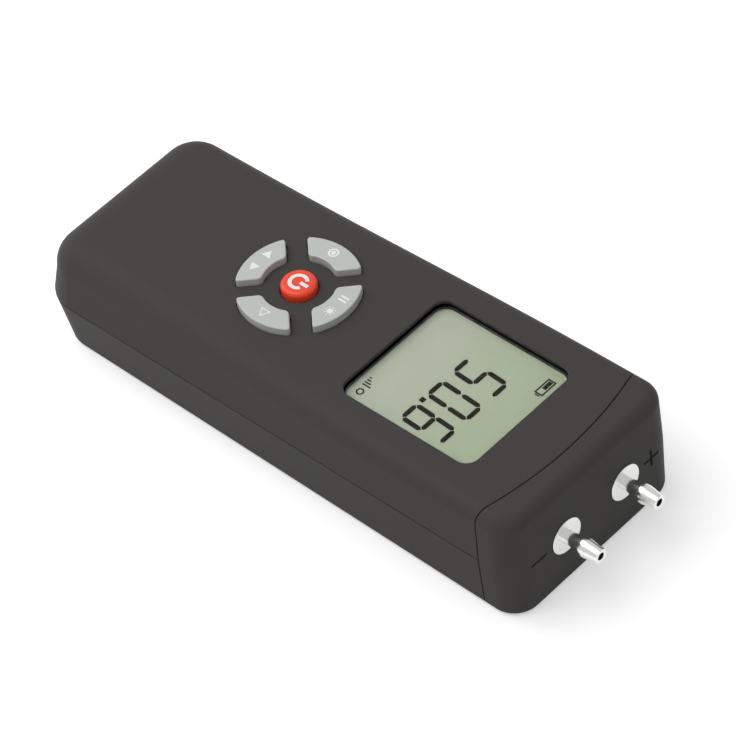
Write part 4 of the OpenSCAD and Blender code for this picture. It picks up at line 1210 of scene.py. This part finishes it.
class METER_OT_figures(MeterOperator, bpy.types.Operator):
    """Seven-segment figures on the display"""
    bl_idname = "meter.figures"
    bl_label = "Display figures"

    def execute(self, context):
        show, finish = context.scene.meter_display, context.scene.meter_finish
        ink = moulded("liquid crystal, dark", finish.segment, 0.6, grain=5000.0, depth=0.0005 * MM,
                      Specular_IOR_Level=0.02)
        figures = self.figures(show)
        signs = bmesh.new()
        self.charge_sign(signs, show)
        self.scale_sign(signs, show)
        raise_faces(signs, signs.faces[:], show.film)
        for name, bm, y in (("display_figures", figures, show.middle_y), ("display_signs", signs, 0)):
            bmesh.ops.translate(bm, verts=bm.verts, vec=(0, DISPLAY_Y + y, GLASS_HIGH.z + show.film))
            keep_piece(name, bm, ink, "housing", "black_plastic", weighted=False)
        return {"FINISHED"}

    @classmethod
    def figures(cls, show):
        """The reading's digits and its point, leaning, about their row's middle."""
        bm = bmesh.new()
        column = 0
        for sign in reversed(show.reading):
            if sign == ".":
                x = show.last_x - (column - 0.5) * show.pitch
                low = -show.digit_h / 2
                block(bm, (x - show.point / 2, low, 0), (x + show.point / 2, low + show.point, show.film))
                continue
            cls.digit(bm, show, SEGMENTS[sign], show.last_x - column * show.pitch)
            column += 1
        lean = Matrix.Identity(3)
        lean[0][1] = show.slant
        bmesh.ops.transform(bm, matrix=lean, verts=bm.verts)
        bmesh.ops.recalc_face_normals(bm, faces=bm.faces)
        return bm

    @staticmethod
    def digit(bm, show, pattern, x):
        """The shown segments of one digit about a place."""
        w, h, t = (show.digit_w - show.stroke) / 2, (show.digit_h - show.stroke) / 2, show.stroke / 2
        places = [(0, h, 0), (-w, h / 2, 1), (w, h / 2, 1), (0, 0, 0), (-w, -h / 2, 1), (w, -h / 2, 1),
                  (0, -h, 0)]
        for shown, (sx, sy, upright) in zip(pattern, places):
            if shown == "0":
                continue
            end = (h if upright else 2 * w) / 2 - show.gap
            points = [(-end, 0), (-end + t, -t), (end - t, -t), (end, 0), (end - t, t), (-end + t, t)]
            if upright:
                points = [(-b, a) for a, b in points]
            verts = [bm.verts.new((x + sx + a, sy + b, 0)) for a, b in points]
            raise_faces(bm, bmesh.ops.contextual_create(bm, geom=verts)["faces"], show.film)

    @staticmethod
    def charge_sign(bm, show):
        """A plain battery sign: its outline, its terminal and its charge."""
        long_share, terminal_share, charge_share, charge_place, margins = 2.1, 0.8, 0.52, -0.14, 3.2
        h, line = show.sign_h, show.sign_line
        w = long_share * h
        middle = (-show.sign_x, show.sign_y)
        bar_mark(bm, middle, 0, 0, w, h)
        inner = bm.faces[:]
        bmesh.ops.inset_region(bm, faces=inner, thickness=line, use_boundary=True, use_even_offset=True)
        bmesh.ops.delete(bm, geom=inner, context="FACES")
        bar_mark(bm, middle, w / 2 + terminal_share * line, 0, line, h / 2)
        bar_mark(bm, middle, charge_place * w, 0, charge_share * w, h - margins * line)

    @staticmethod
    def scale_sign(bm, show):
        """A plain row of rising bars and a ring."""
        bars, low_share, ring_place, ring_share = 4, 0.3, 0.72, 0.42
        h, line = show.sign_h, show.sign_line
        x, y = show.sign_x, -show.sign_y - low_share * h
        for step in range(bars):
            rise = h * (step + 1) / bars
            bar_mark(bm, (x, y), (step + 0.5 - bars) * 2 * line, (rise - h) / 2, line, rise)
        ring_mark(bm, (x + ring_place * h, y), ring_share * h, line)


class METER_OT_finishes(MeterOperator, bpy.types.Operator):
    """Finishes of the pieces that keep their packed shape"""
    bl_idname = "meter.finishes"
    bl_label = "Other finishes"

    def execute(self, context):
        black = moulded("black plastic", (0.012, 0.012, 0.012), 0.5)
        white = moulded("white plastic", (0.75, 0.74, 0.70), 0.45)
        steel = moulded("bright steel", (0.60, 0.60, 0.61), 0.3, grain=1800.0, Metallic=1.0)
        clear = clear_glass("clear silicone", (0.92, 0.93, 0.90), 0.15, 1.41)
        wanted = {
            "window_lens": clear_glass("coated acrylic", (1.0, 1.0, 1.0), 0.02, 1.15),
            "display_glass": display_material(context.scene.meter_finish),
            "contact_strips": moulded("pink rubber", (0.75, 0.40, 0.42), 0.6),
            "light_box": white,
            "key_switches": steel,
            "circuit_board": board_material(),
            "controller_chip": black,
            "amplifier_chip": black,
            "quartz_crystal": steel,
            "pressure_sensor": white,
            "plus_tube": clear,
            "minus_tube": clear,
            "port_nuts": moulded("brass", (0.72, 0.55, 0.24), 0.3, grain=1800.0, Metallic=1.0),
            "red_lead": moulded("red lead", (0.55, 0.03, 0.02), 0.4),
            "black_lead": black,
            "board_screws": steel,
        }
        wanted.update({key + "_plunger": black for key in ("power", "upper", "lower", "left", "right")})
        for node, material in wanted.items():
            coat(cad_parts[node], material)
        for node, name, material, slot, width in (
                ("display_frame", "display_frame_moulded", black, "black_plastic", 0.15 * MM),
                ("battery", "battery_block", battery_material(), "battery_jacket", 0.5 * MM),
                ("battery_snap", "battery_snap_moulded", black, "black_plastic", 0.3 * MM)):
            softened(node, name, material, "housing", slot, width)
        return {"FINISHED"}


class METER_OT_stage(MeterOperator, bpy.types.Operator):
    """Floor, surroundings, lamps and camera"""
    bl_idname = "meter.stage"
    bl_label = "Stage"

    def execute(self, context):
        scene, stage = context.scene, context.scene.meter_stage
        self.floor()
        self.surroundings(scene, stage)
        self.lamp(scene, "overhead", (0.25, -0.35, 0.95), size=0.9, power=stage.overhead)
        self.lamp(scene, "side", (0.25, -1.20, 0.50), size=0.7, power=stage.side)
        self.camera(scene, stage)
        scene.view_settings.view_transform = "Standard"
        return {"FINISHED"}

    @staticmethod
    def floor():
        """A pale floor that reads as white and keeps the shadow."""
        bm = bmesh.new()
        bmesh.ops.create_grid(bm, x_segments=1, y_segments=1, size=20.0)
        floor = loose_object("floor", bm)
        material, tree, shader, out = new_material("pale floor")
        feed(tree, shader, Base_Color=(0.84, 0.84, 0.84, 1), Roughness=0.75, Specular_IOR_Level=0.1)
        glow = calc(tree, "MULTIPLY", seen_by(tree, "Camera", "Glossy", "Transmission"), 0.42)
        light = add(tree, "ShaderNodeEmission", Color=(1, 1, 1, 1), Strength=glow)
        both = tree.nodes.new("ShaderNodeAddShader")
        set_input(tree, both.inputs[0], shader.outputs[0])
        set_input(tree, both.inputs[1], light.outputs[0])
        feed(tree, out, Surface=both.outputs[0])
        coat(floor, material)

    @staticmethod
    def surroundings(scene, stage):
        """White surroundings, seen at full strength and lighting at a lower one."""
        world = bpy.data.worlds.new("white surroundings")
        world.use_nodes = True
        tree = world.node_tree
        mirrored = calc(tree, "MULTIPLY", seen_by(tree, "Glossy"), stage.mirrored)
        seen = calc(tree, "MAXIMUM", seen_by(tree, "Camera", "Transmission"), mirrored)
        feed(tree, tree.nodes["Background"], Strength=calc(tree, "MAXIMUM", seen, stage.sky),
             Color=(1, 1, 1, 1))
        scene.world = world

    @staticmethod
    def lamp(scene, name, place, size, power):
        """A square soft lamp that points at the object."""
        data = bpy.data.lights.new(name, "AREA")
        data.shape = "SQUARE"
        data.size = size
        data.energy = power
        made = bpy.data.objects.new(name, data)
        made.location = place
        made.rotation_euler = (-Vector(place)).to_track_quat("-Z", "Y").to_euler()
        scene.collection.objects.link(made)

    @staticmethod
    def camera(scene, stage):
        """The camera, at the photograph's viewing angle."""
        az, el = stage.azimuth, stage.elevation
        back = Vector((math.sin(az) * math.cos(el), -math.cos(az) * math.cos(el), math.sin(el)))
        level = Vector((math.cos(az), math.sin(az), 0))
        upright = back.cross(level)
        right = level * math.cos(stage.roll) + upright * math.sin(stage.roll)
        up = upright * math.cos(stage.roll) - level * math.sin(stage.roll)
        place = back * stage.distance + right * stage.shift_x + up * stage.shift_y
        place += Vector((0, stage.middle_y, stage.middle_z))
        data = bpy.data.cameras.new("camera")
        data.lens = stage.lens
        data.sensor_width = 36.0
        data.clip_start = 0.05
        data.clip_end = 60.0
        made = bpy.data.objects.new("camera", data)
        turn = Matrix((right, up, back)).transposed()
        made.matrix_world = Matrix.Translation(place) @ turn.to_4x4()
        scene.collection.objects.link(made)
        scene.camera = made


class METER_PT_panel(bpy.types.Panel):
    """Lists the manometer's pieces and settings"""
    bl_label = "Manometer"
    bl_idname = "METER_PT_panel"
    bl_space_type = "VIEW_3D"
    bl_region_type = "UI"
    bl_category = "Manometer"

    def draw(self, context):
        for operator in OPERATORS:
            self.layout.operator(operator.bl_idname)
        for name, kind in SETTINGS.items():
            box = self.layout.box()
            box.label(text=kind.__doc__)
            for field in kind.__annotations__:
                box.prop(getattr(context.scene, name), field)


OPERATORS = (METER_OT_stage, METER_OT_front_cover, METER_OT_rear_cover, METER_OT_end_cap, METER_OT_keys,
             METER_OT_back_parts, METER_OT_ports, METER_OT_figures, METER_OT_finishes)
CLASSES = (*SETTINGS.values(), *OPERATORS, METER_PT_panel)


def register():
    """Registers the classes and hangs the settings on the scene."""
    for kind in CLASSES:
        bpy.utils.register_class(kind)
    for name, kind in SETTINGS.items():
        setattr(bpy.types.Scene, name, bpy.props.PointerProperty(type=kind))


def unregister():
    """Takes all of that away again."""
    for name in SETTINGS:
        delattr(bpy.types.Scene, name)
    for kind in reversed(CLASSES):
        bpy.utils.unregister_class(kind)


def main():
    """Builds every piece and the stage."""
    register()
    bpy.ops.meter.stage()
    bpy.ops.meter.front_cover()
    bpy.ops.meter.rear_cover()
    bpy.ops.meter.end_cap()
    bpy.ops.meter.keys()
    bpy.ops.meter.back_parts()
    bpy.ops.meter.ports()
    bpy.ops.meter.figures()
    bpy.ops.meter.finishes()


if __name__ == "__main__":
    main()
